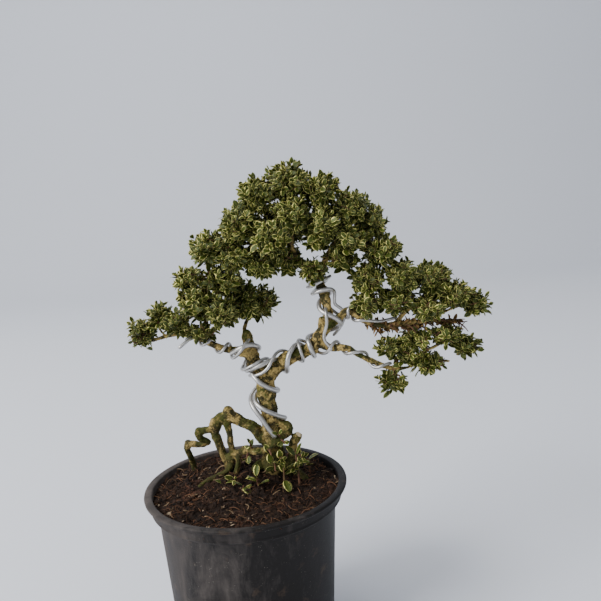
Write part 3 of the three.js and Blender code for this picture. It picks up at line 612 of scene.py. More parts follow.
def bark_material(tree):
    n = Nodes("mossy_bark")
    place = n.coords()
    fine = n.noise(place, 900, 6, 0.7)
    blotch = n.noise(place, 150, 5, 0.62)
    fissure_shade = n.attribute("cavity")
    moss = n.attribute("moss")
    light = tuple(min(1, c * 1.75) for c in tree.bark)
    # A dark copy of the bark colour, painted into the deep fissures as shade.
    deep = tuple(c * 0.16 for c in tree.bark)
    shade = n.noise(place, 210, 6, 0.68, 0.4)
    colour = n.mix(n.ramp(blotch, 0.32, 0.68), tuple(c * 0.42 for c in tree.bark), light)
    colour = n.mix(n.ramp(fine, 0.35, 0.7, 0.0, 0.5), colour, (0.5, 0.37, 0.14))
    colour = n.mix(n.ramp(shade, 0.46, 0.54, 0.0, 0.95), colour, (0.026, 0.026, 0.01))
    growth = n.math("ADD", moss, n.ramp(n.noise(place, 320, 6, 0.72), 0.3, 0.7, -0.32, 0.32))
    green = n.mix(n.ramp(fine, 0.35, 0.65), tuple(c * 0.38 for c in tree.moss), tuple(c * 1.5 for c in tree.moss))
    colour = n.mix(n.ramp(growth, 0.3, 0.62, 0, 0.92), colour, green)
    # Painted shade: the deep fissures darken to the dark copy of the bark colour.
    colour = n.mix(n.ramp(fissure_shade, 0.42, 0.9, 0.0, 0.93), colour, deep)
    colour = n.mix(n.attribute("cut"), colour, (0.62, 0.5, 0.3))
    # Painted shade: the wood darkens, in blotches, towards its foot just above the soil.
    up = n.node("ShaderNodeSeparateXYZ", Vector=place).outputs["Z"]
    foot = n.math("MULTIPLY", n.ramp(up, 0.1, 0.155, 0.75, 0.0), n.ramp(blotch, 0.36, 0.6, 0.25, 1.0))
    colour = n.mix(foot, colour, (0.04, 0.034, 0.015))
    height = n.math("ADD", fine, n.math("MULTIPLY", n.noise(place, 2200, 4, 0.7), 0.5))
    n.bump(height, 0.75, 0.0006)
    return n.finish(colour, 0.88, 0.0, 0.25)


def twig_material():
    n = Nodes("young_bark")
    place = n.coords()
    colour = n.mix(n.ramp(n.noise(place, 350, 5, 0.65), 0.3, 0.7), (0.05, 0.022, 0.014), (0.21, 0.1, 0.055))
    colour = n.mix(n.ramp(n.noise(place, 120, 3, 0.5), 0.55, 0.7, 0, 0.6), colour, (0.14, 0.13, 0.035))
    n.bump(n.noise(place, 1800, 4, 0.7), 0.5, 0.0003)
    return n.finish(colour, 0.8, 0.0, 0.3)


def wire_material(tree):
    n = Nodes("aluminium_wire")
    place = n.coords()
    dull = n.noise(place, 220, 6, 0.7)
    scuff = n.noise(n.scaled(place, (1, 1, 0.3)), 1600, 4, 0.6)
    colour = n.mix(n.ramp(dull, 0.42, 0.72, 0, 0.55), tuple(tree.wire), (0.3, 0.29, 0.27))
    dirt = n.ramp(n.noise(place, 420, 5, 0.7), 0.6, 0.74, 0, 0.7)
    colour = n.mix(dirt, colour, (0.14, 0.12, 0.07))
    n.bump(n.math("ADD", scuff, dull), 0.12, 0.0002)
    return n.finish(colour, n.ramp(dull, 0.35, 0.75, 0.3, 0.52), 0.85, 0.5)


def leaf_material(leaf):
    n = Nodes("variegated_leaf")
    uv = n.node("ShaderNodeUVMap", {"uv_map": "leaf"}).outputs["UV"]
    place = n.coords()
    tint = n.attribute("tint")
    split = n.node("ShaderNodeSeparateXYZ", Vector=uv)
    across = n.math("ABSOLUTE", n.math("SUBTRACT", n.math("MULTIPLY", split.outputs["X"], 2), 1), 0)
    ragged = n.ramp(n.noise(place, 800, 3, 0.6), 0.3, 0.7, -0.2, 0.2)
    edge = n.math("ADD", n.math("ADD", across, ragged), n.ramp(tint, 0.0, 1.0, -0.14, 0.16))
    margin = n.ramp(edge, 0.77, 0.84)
    green = n.mix(tint, tuple(c * 0.45 for c in leaf.green), tuple(c * 1.7 for c in leaf.green))
    green = n.mix(n.ramp(n.noise(place, 500, 4, 0.65), 0.4, 0.7, 0, 0.4), green, (0.12, 0.145, 0.012))
    rib = n.math("MULTIPLY", n.ramp(across, 0.0, 0.12, 1, 0), 0.4)
    green = n.mix(rib, green, (0.12, 0.15, 0.025))
    cream = n.mix(n.ramp(tint, 0.2, 1.0), tuple(c * 0.62 for c in leaf.cream), tuple(leaf.cream))
    colour = n.mix(margin, green, cream)
    worn = n.ramp(n.noise(place, 95, 4, 0.6), 0.63, 0.74, 0, 0.6)
    colour = n.mix(worn, colour, (0.17, 0.1, 0.03))
    n.bump(n.math("ADD", n.math("MULTIPLY", across, -0.6), n.noise(place, 1200, 3, 0.6)), 0.3, 0.0003)
    return n.finish(colour, 0.5, 0.0, 0.3)


def dry_material():
    n = Nodes("dead_leaf")
    place = n.coords()
    colour = n.mix(n.attribute("tint"), (0.1, 0.05, 0.02), (0.36, 0.21, 0.08))
    colour = n.mix(n.ramp(n.noise(place, 420, 4, 0.65), 0.5, 0.66, 0, 0.7), colour, (0.09, 0.1, 0.022))
    n.bump(n.noise(place, 1100, 4, 0.6), 0.5, 0.0004)
    return n.finish(colour, 0.85, 0.0, 0.2)


# Geometry Nodes


class Scatter:
    """A node tree that puts copies of a few small shapes on a mesh's faces or at its vertices."""

    def __init__(self, name):
        self.tree = bpy.data.node_groups.new(name, "GeometryNodeTree")
        sockets = self.tree.interface
        sockets.new_socket("Geometry", in_out="INPUT", socket_type="NodeSocketGeometry")
        self.inputs = {}
        for label, kind in (
            ("Shapes", "NodeSocketCollection"), ("Material", "NodeSocketMaterial"), ("Density", "NodeSocketFloat"),
            ("Size", "NodeSocketFloat"), ("Spread", "NodeSocketFloat"), ("Seed", "NodeSocketInt"),
        ):
            self.inputs[label] = sockets.new_socket(label, in_out="INPUT", socket_type=kind).identifier
        sockets.new_socket("Geometry", in_out="OUTPUT", socket_type="NodeSocketGeometry")
        self.start = self.tree.nodes.new("NodeGroupInput")
        self.end = self.tree.nodes.new("NodeGroupOutput")

    def node(self, kind, **values):
        made = self.tree.nodes.new(kind)
        for key, value in values.items():
            setattr(made, key, value)
        return made

    def link(self, source, target):
        self.tree.links.new(source, target)

    def picked(self):
        info = self.node("GeometryNodeCollectionInfo")
        info.inputs["Separate Children"].default_value = True
        info.inputs["Reset Children"].default_value = True
        self.link(self.start.outputs["Shapes"], info.inputs["Collection"])
        return info.outputs["Instances"]

    def random(self, kind, low, high, offset):
        made = self.node("FunctionNodeRandomValue", data_type=kind)
        sockets = {"FLOAT": (2, 3), "FLOAT_VECTOR": (0, 1), "INT": (4, 5)}[kind]
        made.inputs[sockets[0]].default_value = low
        made.inputs[sockets[1]].default_value = high
        add = self.node("ShaderNodeMath", operation="ADD")
        self.link(self.start.outputs["Seed"], add.inputs[0])
        add.inputs[1].default_value = offset
        self.link(add.outputs[0], made.inputs["Seed"])
        return made.outputs[{"FLOAT": 1, "FLOAT_VECTOR": 0, "INT": 2}[kind]]

    def close(self, instances):
        real = self.node("GeometryNodeRealizeInstances")
        paint = self.node("GeometryNodeSetMaterial")
        self.link(instances, real.inputs["Geometry"])
        self.link(real.outputs["Geometry"], paint.inputs["Geometry"])
        self.link(self.start.outputs["Material"], paint.inputs["Material"])
        self.link(paint.outputs["Geometry"], self.end.inputs["Geometry"])

    def on_faces(self):
        """Copies lie on the faces that look up, turned and sized at random."""
        points = self.node("GeometryNodeDistributePointsOnFaces")
        normal = self.node("GeometryNodeInputNormal")
        split = self.node("ShaderNodeSeparateXYZ")
        up = self.node("FunctionNodeCompare", data_type="FLOAT", operation="GREATER_THAN")
        up.inputs["B"].default_value = 0.35
        self.link(normal.outputs["Normal"], split.inputs["Vector"])
        self.link(split.outputs["Z"], up.inputs["A"])
        self.link(self.start.outputs["Geometry"], points.inputs["Mesh"])
        self.link(up.outputs["Result"], points.inputs["Selection"])
        self.link(self.start.outputs["Density"], points.inputs["Density"])
        self.link(self.start.outputs["Seed"], points.inputs["Seed"])
        tinted = self.node("GeometryNodeStoreNamedAttribute", data_type="FLOAT", domain="POINT")
        tinted.inputs["Name"].default_value = "tint"
        self.link(points.outputs["Points"], tinted.inputs["Geometry"])
        self.link(self.random("FLOAT", 0.0, 1.0, 11), tinted.inputs["Value"])
        copies = self.node("GeometryNodeInstanceOnPoints")
        copies.inputs["Pick Instance"].default_value = True
        self.link(tinted.outputs["Geometry"], copies.inputs["Points"])
        self.link(self.picked(), copies.inputs["Instance"])
        self.link(self.random("INT", 0, SHAPES - 1, 3), copies.inputs["Instance Index"])
        self.link(self.random("FLOAT_VECTOR", (-0.7, -0.7, 0), (0.7, 0.7, 6.28), 5), copies.inputs["Rotation"])
        size = self.node("ShaderNodeMath", operation="MULTIPLY_ADD")
        self.link(self.random("FLOAT", -1.0, 1.0, 7), size.inputs[0])
        self.link(self.start.outputs["Spread"], size.inputs[1])
        self.link(self.start.outputs["Size"], size.inputs[2])
        self.link(size.outputs[0], copies.inputs["Scale"])
        self.close(copies.outputs["Instances"])
        return self

    def at_points(self):
        """Copies stand at the vertices, each turned, sized and tinted by the vertex's own attributes."""
        points = self.node("GeometryNodeMeshToPoints")
        self.link(self.start.outputs["Geometry"], points.inputs["Mesh"])
        copies = self.node("GeometryNodeInstanceOnPoints")
        copies.inputs["Pick Instance"].default_value = True
        self.link(points.outputs["Points"], copies.inputs["Points"])
        self.link(self.picked(), copies.inputs["Instance"])
        for name, kind, socket in (
            ("kind", "INT", "Instance Index"), ("turn", "FLOAT_VECTOR", "Rotation"),
            ("size", "FLOAT_VECTOR", "Scale"),
        ):
            read = self.node("GeometryNodeInputNamedAttribute", data_type=kind)
            read.inputs["Name"].default_value = name
            self.link(read.outputs["Attribute"], copies.inputs[socket])
        self.close(copies.outputs["Instances"])
        return self

    def apply(self, obj, name, shapes, material, density=0.0, size=1.0, spread=0.0, seed=1):
        modifier = obj.modifiers.new("scatter", "NODES")
        modifier.node_group = self.tree
        values = {
            "Shapes": shapes, "Material": material, "Density": density, "Size": size, "Spread": spread, "Seed": seed,
        }
        for label, value in values.items():
            modifier[self.inputs[label]] = value
        return baked(obj, name)


def shape_set(name, shapes):
    """A hidden collection of small shapes for the scatter trees."""
    group = bpy.data.collections.new(name)
    for index, shape in enumerate(shapes):
        shape.name = f"{name}_{index}"
        bpy.context.scene.collection.objects.unlink(shape)
        group.objects.link(shape)
    return group


def drop_shapes(group):
    for shape in list(group.objects):
        bpy.data.objects.remove(shape)
    bpy.data.collections.remove(group)


def points_object(name, places, attributes):
    mesh = bpy.data.meshes.new(name)
    mesh.from_pydata([tuple(p) for p in places], [], [])
    for label, kind, values in attributes:
        data = mesh.attributes.new(label, kind, "POINT")
        key = "vector" if kind == "FLOAT_VECTOR" else "value"
        flat = np.array(values, float if kind != "INT" else int).ravel()
        data.data.foreach_set(key, flat)
    obj = bpy.data.objects.new(name, mesh)
    bpy.context.scene.collection.objects.link(obj)
    return obj


# Pot


def pot_profile(pot):
    """Radius and height round the pot's wall, from the axis under the floor to the axis inside."""
    base = pot.body_radius - pot.taper * (pot.height - pot.collar - 0.002)
    wall = 0.0018
    top = pot.height
    collar = pot.rim_radius - 0.0035
    inner = pot.rim_radius - pot.flange
    low = top - pot.collar
    return [
        (0, 0), (base - 0.003, 0), (base - 0.0016, 0.0001), (base - 0.0005, 0.0006), (base, 0.0016),
        (base + pot.taper * 0.03, 0.03), (base + pot.taper * 0.06, 0.06),
        (pot.body_radius - 0.0001, low - 0.0034), (pot.body_radius + 0.0004, low - 0.0024),
        (pot.body_radius + 0.0016, low - 0.0014), (collar - 0.0007, low - 0.0006), (collar - 0.0001, low - 0.0001),
        (collar + 0.0001, low + 0.0006), (collar - 0.0002, low + 0.0012), (collar, low + 0.002),
        (collar + 0.0001, top - 0.0028), (collar + 0.0004, top - 0.0022), (pot.rim_radius - 0.0007, top - 0.0021),
        (pot.rim_radius - 0.0001, top - 0.0016), (pot.rim_radius, top - 0.0009),
        (pot.rim_radius - 0.0002, top - 0.0003), (pot.rim_radius - 0.0007, top), (inner + 0.0009, top),
        (inner + 0.0003, top - 0.0003), (inner, top - 0.0009),
        (inner, low + wall / 2), (pot.body_radius - wall, low - 0.002), (base - wall, 0.0026), (0, 0.0026),
    ]


def lathe(profile, sides, wobble):
    verts, faces = [], []
    rows = profile[1:-1]
    for radius, height in rows:
        for k in range(sides):
            angle = 2 * math.pi * k / sides
            x, y = math.cos(angle), math.sin(angle)
            r = radius + wobble(x, y, height)
            verts.append((r * x, r * y, height))
    for row in range(len(rows) - 1):
        for k in range(sides):
            n = (k + 1) % sides
            a, b = row * sides, (row + 1) * sides
            faces.append((a + k, a + n, b + n, b + k))
    bottom, top = len(verts), len(verts) + 1
    verts += [(0, 0, profile[0][1]), (0, 0, profile[-1][1])]
    last = (len(rows) - 1) * sides
    for k in range(sides):
        n = (k + 1) % sides
        faces.append((bottom, n, k))
        faces.append((top, last + k, last + n))
    return verts, faces


class BONSAI_OT_pot(bpy.types.Operator):
    """Nursery pot with its flange, collar and drain holes"""

    bl_idname = "bonsai.pot"
    bl_label = "Pot"

    def execute(self, context):
        pot = context.scene.bonsai_pot

        def wobble(x, y, z):
            share = max(0.0, (z - 0.02) / pot.height)
            return 0.00035 * share * noise.noise(Vector((x * 1.6, y * 1.6, z * 20)))

        verts, faces = lathe(pot_profile(pot), POT_SIDES, wobble)
        obj = new_object("pot_body", verts, faces, plastic_material(pot))
        cutters = []
        count = DRAIN_SIDES
        sides = [(i, (i + 1) % count, count + (i + 1) % count, count + i) for i in range(count)]
        ends = [tuple(reversed(range(count))), tuple(range(count, 2 * count))]
        for angle in np.arange(DRAIN_HOLES) * 2 * math.pi / DRAIN_HOLES:
            x, y = DRAIN_CIRCLE * math.cos(angle), DRAIN_CIRCLE * math.sin(angle)
            ring = [
                (x + DRAIN_RADIUS * math.cos(t), y + DRAIN_RADIUS * math.sin(t))
                for t in np.arange(count) * 2 * math.pi / count
            ]
            verts = [(*place, height) for height in (-0.004, 0.008) for place in ring]
            cutters.append((verts, sides + ends))
        cutter = new_object("drain", *merged(cutters))
        cut = obj.modifiers.new("drain", "BOOLEAN")
        cut.operation = "DIFFERENCE"
        cut.solver = "EXACT"
        cut.object = cutter
        obj = baked(obj, "pot_body")
        bpy.data.objects.remove(cutter)
        for polygon in obj.data.polygons:
            flat = abs(polygon.normal.z) > 0.98 and polygon.center.z < 0.004
            polygon.use_smooth = not flat
        finished(obj, "pot_plastic", "pot")
        return {"FINISHED"}


# Soil


def soil_height(x, y):
    """Height of the soil's top in metres at a place in metres."""
    x, y = x / MM, y / MM
    away = math.hypot(x - MOUND_PLACE[0], y - MOUND_PLACE[1]) / MOUND_WIDTH
    lumps = math.sin(0.31 * x + 1.1) * math.sin(0.27 * y) + 0.5 * math.sin(0.7 * x + 0.5 * y)
    return (SOIL_EDGE + MOUND_HEIGHT * math.exp(-away * away) + SOIL_LUMP * lumps) * MM


def crumb(seed, long, flat):
    """A rough little lump about one unit across, with 30 faces."""
    rings, sides = 4, 6
    verts, faces = [(0, 0, -0.5 * flat)], []
    for r in range(1, rings):
        tilt = math.pi * r / rings
        for k in range(sides):
            angle = 2 * math.pi * k / sides
            p = Vector((math.sin(tilt) * math.cos(angle), math.sin(tilt) * math.sin(angle), -math.cos(tilt)))
            p *= 0.5 * (1 + 0.55 * noise.noise(p * 1.7 + Vector((seed * 3.1, 0, 0))))
            verts.append((p.x * long, p.y, p.z * flat))
    verts.append((0, 0, 0.5 * flat))
    for k in range(sides):
        n = (k + 1) % sides
        faces.append((0, 1 + n, 1 + k))
        for r in range(rings - 2):
            a, b = 1 + r * sides, 1 + (r + 1) * sides
            faces.append((a + k, a + n, b + n, b + k))
        top = 1 + (rings - 2) * sides
        faces.append((top + k, top + n, len(verts) - 1))
    return new_object("crumb", verts, faces, smooth=False)


def fibre(seed, width=0.03):
    """A thin bent strand about one unit long."""
    rng = np.random.default_rng(seed)
    bend = rng.uniform(-0.8, 0.8, 2)
    us = np.linspace(-0.5, 0.5, 6)
    points = np.array([(u, bend[0] * (0.25 - u * u) * 2, 0.06 + bend[1] * (0.25 - u * u)) for u in us])
    verts, faces = tube(points, [width] * 6, 3)
    return new_object("fibre", verts, faces, smooth=True)


class BONSAI_OT_soil(bpy.types.Operator):
    """Soil with crumbs, fibres and pale chips on its surface"""

    bl_idname = "bonsai.soil"
    bl_label = "Soil"

    def execute(self, context):
        pot, soil = context.scene.bonsai_pot, context.scene.bonsai_soil
        low = pot.height - pot.collar
        edge = pot.rim_radius - pot.flange - 0.0006
        rows = [
            (0.0458, 0.0032), (pot.body_radius - 0.0027, low - 0.0018), (edge, low + 0.0014),
            (edge, SOIL_EDGE * MM - 0.001),
        ]
        sides, rings = 220, 90
        verts, faces = [], []
        angles = np.arange(sides) * 2 * math.pi / sides
        for radius, height in rows:
            verts += [(radius * math.cos(a), radius * math.sin(a), height) for a in angles]
        for ring in range(rings, 0, -1):
            radius = edge * ring / rings
            for a in angles:
                x, y = radius * math.cos(a), radius * math.sin(a)
                rough = 0.0011 * fbm(x * 130, y * 130, 0.3) + 0.0006 * fbm(x * 600, y * 600, 2.3, 3)
                verts.append((x, y, soil_height(x, y) + rough))
        for row in range(len(rows) + rings - 1):
            for k in range(sides):
                n = (k + 1) % sides
                a, b = row * sides, (row + 1) * sides
                faces.append((a + k, a + n, b + n, b + k))
        verts += [(0, 0, 0.0032), (0, 0, soil_height(0, 0))]
        last = (len(rows) + rings - 1) * sides
        for k in range(sides):
            n = (k + 1) % sides
            faces.append((len(verts) - 2, n, k))
            faces.append((last + k, last + n, len(verts) - 1))
        body = new_object("soil_body", verts, faces, soil_material(soil))
        self.litter(context, body, soil)
        finished(body, "soil", "soil")
        return {"FINISHED"}

    def litter(self, context, body, soil):
        """Scatters crumbs, clods, fibres, sticks and chips over the soil's top."""
        dark, light = tuple(soil.dark), tuple(soil.light)
        clod_dark, clod_light = tuple(c * 1.2 for c in dark), tuple(c * 1.3 for c in light)
        kinds = range(SHAPES)
        # Name, shapes, number for each square metre, size, spread of the size in millimetres, material.
        lots = (
            (
                "soil_crumbs", [crumb(k, 1.2, 0.85) for k in kinds], soil.crumbs, soil.crumb_size, 0.6,
                crumb_material("crumb", dark, light),
            ),
            (
                "soil_clods", [crumb(k + 9, 1.4, 0.9) for k in kinds], soil.crumbs / 14, soil.crumb_size * 2.1, 0.8,
                crumb_material("clod", clod_dark, clod_light),
            ),
            (
                "soil_fibres", [fibre(k) for k in kinds], soil.fibres, 0.0046, 3.0,
                crumb_material("coir", (0.012, 0.006, 0.004), (0.26, 0.125, 0.065)),
            ),
            (
                "soil_sticks", [fibre(k + 30, 0.055) for k in kinds], soil.sticks, 0.0062, 2.6,
                crumb_material("stick", (0.035, 0.018, 0.011), (0.34, 0.23, 0.13)),
            ),
            (
                "soil_chips", [crumb(k + 20, 1.8, 0.35) for k in kinds], soil.chips, 0.0014, 1.1,
                crumb_material("pale_chip", (0.1, 0.065, 0.04), (0.5, 0.38, 0.25), 0.3),
            ),
        )
        for index, (name, shapes, density, size, spread, material) in enumerate(lots):
            group = shape_set(name + "_shapes", shapes)
            carrier = body.copy()
            carrier.data = body.data.copy()
            context.scene.collection.objects.link(carrier)
            tree = Scatter(name).on_faces()
            strewn = tree.apply(carrier, name, group, material, density, size, spread * MM, 3 + index)
            rounded = name in ("soil_fibres", "soil_sticks")
            strewn.data.polygons.foreach_set("use_smooth", [rounded] * len(strewn.data.polygons))
            drop_shapes(group)
            finished(strewn, "soil", "soil")


# Wood


def limb_samples(steps=10):
    """Every limb's centre line, with the limb's radius, name and distance along it."""
    rows = []
    for index, (name, stations) in enumerate(LIMBS.items()):
        points, tangents, radii = curve_points(stations, steps)
        across, side = fronts(tangents)
        along = np.concatenate([[0], np.cumsum(np.linalg.norm(np.diff(points, axis=0), axis=1))])
        for k in range(len(points)):
            rows.append((points[k], tangents[k], across[k], side[k], radii[k], name, along[k], index))
    return rows


class BONSAI_OT_wood(bpy.types.Operator):
    """Trunk, limbs and roots grown together, with fissured, mossy bark"""

    bl_idname = "bonsai.wood"
    bl_label = "Wood"

    def execute(self, context):
        tree = context.scene.bonsai_tree
        shapes = []
        for stations in LIMBS.values():
            points, _, radii = curve_points(stations, 8)
            lumps = np.array([noise.noise(Vector(p) * 190 + Vector((9, 3, 1))) for p in points])
            swell = np.array([noise.noise(Vector(p) * 75 + Vector((2, 8, 5))) for p in points])
            radii = radii * (0.98 + 0.16 * lumps + 0.12 * swell)
            shapes.append(tube(points, radii, 14))
        for x, y, z, radius in KNOTS:
            centre = np.array((x, y, z), float) * MM
            reach = radius * MM * 0.55
            points = np.array([centre - (0, 0, reach), centre, centre + (0, 0, reach)])
            shapes.append(tube(points, [radius * MM * 0.8, radius * MM, radius * MM * 0.8], 14))
        obj = new_object("tree_bark", *merged(shapes), bark_material(tree))
        skin = obj.modifiers.new("skin", "REMESH")
        skin.mode = "VOXEL"
        skin.voxel_size = tree.detail
        soft = obj.modifiers.new("soft", "SMOOTH")
        soft.factor = 0.6
        soft.iterations = 5
        obj = baked(obj, "tree_bark")
        self.carve(obj, tree)
        finished(obj, "bark", "tree_wood")
        return {"FINISHED"}

    def carve(self, obj, tree):
        """Cuts fissures that run along each limb, and stores where the bark is deep, mossy or cut; the deep places
        get painted shade in the bark material.
        """
        mesh = obj.data
        samples = limb_samples(8)
        finder = KDTree(len(samples))
        for index, row in enumerate(samples):
            finder.insert(row[0], index)
        finder.balance()
        count = len(mesh.vertices)
        cavity, moss, cut = np.zeros(count), np.zeros(count), np.zeros(count)
        moved = np.zeros((count, 3))
        stub_end = Vector(LIMBS["cut_stub"][-1][:3]) * MM
        for vertex in mesh.vertices:
            near = finder.find_n(vertex.co, 3)
            row = min((samples[i] for _, i, _ in near), key=lambda r: abs((Vector(r[0]) - vertex.co).length - r[4]))
            centre, tangent, across, side, radius, name, along, index = row
            offset = vertex.co - Vector(centre)
            angle = math.atan2(offset.dot(Vector(side)), offset.dot(Vector(across)))
            width = max(radius, 0.0012)
            # Fissures: noise that is long along the limb and narrow round it.
            u, v = math.cos(angle) * width * 1000, math.sin(angle) * width * 1000
            w = along * 1000
            twist = 0.1 * w + index * 7.3
            waver = 3 * noise.noise(Vector((w * 0.1, index, 0)))
            ridge = 1 - abs(noise.noise(Vector((u * 0.52, v * 0.52, twist + waver))))
            plate = 1 - abs(noise.noise(Vector((u * 0.8 + 7, v * 0.8, w * 0.34 + index * 3))))
            rough = fbm(vertex.co.x * 420, vertex.co.y * 420, vertex.co.z * 420, 4)
            knots = noise.noise(vertex.co * 260)
            deep = max(0.0, ridge - 0.82) / 0.18 * 0.7 + max(0.0, plate - 0.86) / 0.14 * 0.45
            scale = min(1.0, radius / 0.005) ** 0.7
            push = tree.bark_depth * scale * (0.05 - deep + 0.32 * rough + 0.45 * knots)
            moved[vertex.index] = np.array(vertex.normal) * push
            # How deep the fissure is here; the bark material paints shade by it.
            cavity[vertex.index] = min(1.0, max(0.0, deep * 0.85 - 0.25 * rough + 0.1))
            low = max(0.0, min(1.0, (0.185 - vertex.co.z) / 0.06))
            field = noise.noise(vertex.co * 95 + Vector((4, 4, 4)))
            moss[vertex.index] = 0.22 + 0.3 * low + 0.22 * vertex.normal.z + 0.55 * field
            if name == "cut_stub" and (vertex.co - stub_end).length < 0.0045:
                facing = Vector(tangent).dot(vertex.normal)
                if facing > 0.6:
                    cut[vertex.index] = 1
        co = np.zeros(count * 3)
        mesh.vertices.foreach_get("co", co)
        mesh.vertices.foreach_set("co", co + moved.ravel())
        for label, values in (("cavity", cavity), ("moss", moss), ("cut", cut)):
            mesh.attributes.new(label, "FLOAT", "POINT").data.foreach_set("value", values)
        mesh.polygons.foreach_set("use_smooth", [True] * len(mesh.polygons))
        mesh.update()


# Wires


def wire_path(wire, obstacles):
    """Centre line of a wire wound round its guide and lifted clear of limbs and other wires."""
    guide, radius, stops, free_end = wire
    per_station, clearance = 40, 0.3 * MM
    points, tangents, radii = curve_points(GUIDES[guide], per_station)
    across, side = fronts(tangents)
    fine = [np.array(stops[:1], float)]
    for start, end in zip(np.array(stops, float), np.array(stops[1:], float)):
        count = math.ceil(max(abs(end[1] - start[1]) * 28, abs(end[0] - start[0]) * 7))
        fine.append(start + (end - start) * (np.arange(1, count + 1) / count)[:, None])
    fine = np.vstack(fine)
    for _ in range(9):
        fine[1:-1] = (fine[:-2] + 2 * fine[1:-1] + fine[2:]) / 4
    rows = np.round(fine[:, 0] * per_station).astype(int)
    angles = fine[:, 1] * 2 * math.pi
    reach = radii[rows] + radius * MM + clearance
    aim = np.cos(angles)[:, None] * across[rows] + np.sin(angles)[:, None] * side[rows]
    centres, widths = obstacles
    for _ in range(40):
        places = points[rows] + reach[:, None] * aim
        gaps = np.linalg.norm(places[:, None] - centres[None], axis=2) - widths[None]
        blocked = gaps.min(axis=1) < radius * MM + clearance * 0.9
        if not blocked.any():
            break
        reach[blocked] += 0.15 * MM
    for _ in range(12):
        padded = np.concatenate([reach[:1], reach, reach[-1:]])
        reach = np.maximum(reach, (padded[:-2] + padded[2:]) / 2)
    places = points[rows] + reach[:, None] * aim
    for _ in range(3):
        places[1:-1] = (places[:-2] + 2 * places[1:-1] + places[2:]) / 4
    stations = np.vstack([places[::2] / MM, np.array(free_end, float).reshape(-1, 3)])
    return curve_points([tuple(p) for p in stations], 4)[0]


class BONSAI_OT_wires(bpy.types.Operator):
    """Aluminium training wires wound round the limbs"""

    bl_idname = "bonsai.wires"
    bl_label = "Wires"

    def execute(self, context):
        material = wire_material(context.scene.bonsai_tree)
        samples = limb_samples(8)
        centres = np.array([row[0] for row in samples])
        widths = np.array([row[4] for row in samples])
        for name, wire in WIRES.items():
            path = wire_path(wire, (centres, widths))
            centres = np.vstack([centres, path])
            widths = np.concatenate([widths, np.full(len(path), wire[1] * MM)])
            obj = new_object(name + "_rod", *tube(path, [wire[1] * MM] * len(path), WIRE_SIDES), material)
            finished(obj, "wire_aluminium", name)
        return {"FINISHED"}


# Leaves


def leaf_shape(fold, curl, wide):
    """A leaf one unit long along +X: a thin closed lens, pointed at both ends, creased along its middle."""
    steps, cross = 6, 4
    outline = [0.0, 0.13, 0.22, 0.26, 0.25, 0.17, 0.0]
    verts, uvs, faces = [], [], []

    def place(u, s, top):
        half = np.interp(u, np.linspace(0, 1, steps + 1), outline) * wide
        y = s * half
        z = abs(s) * half * fold + curl * (u * u - 0.25 * u)
        edge = 1 - abs(s)
        z += (0.011 if top else -0.011) * edge * math.sin(math.pi * u)
        return (u, y, z)

    index = {}

    def vertex(i, j, top):
        s = (j - cross / 2) / (cross / 2)
        rim = j in (0, cross) or i in (0, steps)
        key = (i, 0 if i in (0, steps) else j, True if rim else top)
        if key not in index:
            index[key] = len(verts)
            verts.append(place(i / steps, 0 if i in (0, steps) else s, top))
        return index[key]

    for top in (True, False):
        for i in range(steps):
            for j in range(cross):
                corners = [(i, j), (i + 1, j), (i + 1, j + 1), (i, j + 1)]
                if not top:
                    corners.reverse()
                ids = [vertex(a, b, top) for a, b in corners]
                keep = [k for k in range(4) if ids[k] != ids[k - 1]]
                faces.append([ids[k] for k in keep])
                uvs.append([(corners[k][1] / cross, corners[k][0] / steps) for k in keep])
    obj = new_object("leaf", verts, faces)
    layer = obj.data.uv_layers.new(name="leaf")
    layer.data.foreach_set("uv", [c for face in uvs for uv in face for c in uv])
    return obj


def leaf_set():
    return shape_set(
        "leaf_shapes",
        [
            leaf_shape(0.25, 0.05, 1.0), leaf_shape(0.5, -0.12, 0.9), leaf_shape(0.15, -0.28, 1.05),
            leaf_shape(0.4, 0.22, 0.95), leaf_shape(0.7, -0.05, 0.85), leaf_shape(0.3, -0.18, 1.2),
        ],
    )


def turned(direction, up):
    """Euler angles that turn +X along a direction, with +Z as near as may be to up."""
    x = Vector(direction).normalized()
    y = Vector(up).cross(x)
    y = y.normalized() if y.length > 1e-6 else x.orthogonal().normalized()
    z = x.cross(y)
    return tuple(Matrix((x, y, z)).transposed().to_euler())


def tuft(rng, tip, axis, leaf, rows, fewest=3, scale=1.0):
    """Leaves in crossed pairs round the end of a twig: adds place, turn, size, kind and tint to rows."""
    axis = axis / np.linalg.norm(axis)
    helper = np.cross(axis, (0.3, 0.9, 0.2))
    first = helper / np.linalg.norm(helper)
    second = np.cross(axis, first)
    spin = rng.uniform(0, math.pi)
    shade = rng.uniform(0, 1)
    pairs = fewest + rng.integers(0, leaf.more + 1)
    for pair in range(pairs):
        share = pair / max(1, pairs - 1)
        base = tip - axis * leaf.length * (0.9 - 0.85 * share)
        lean = math.radians(rng.uniform(48, 78) - 30 * share)
        for half in range(2):
            angle = spin + pair * math.pi / 2 + half * math.pi + rng.normal(0, 0.22)
            out = math.cos(angle) * first + math.sin(angle) * second
            direction = math.cos(lean) * axis + math.sin(lean) * out
            direction = direction + rng.normal(0, 0.12, 3)
            size = leaf.length * scale * (1.05 - 0.38 * share) * rng.uniform(0.68, 1.15)
            sizes = (size, size * rng.uniform(0.85, 1.15), size)
            kind = rng.integers(0, SHAPES)
            tint = np.clip(shade * 0.5 + 0.5 * rng.uniform(0, 1) + 0.12 * share, 0, 1)
            rows.append((base, turned(direction, axis), sizes, kind, tint))


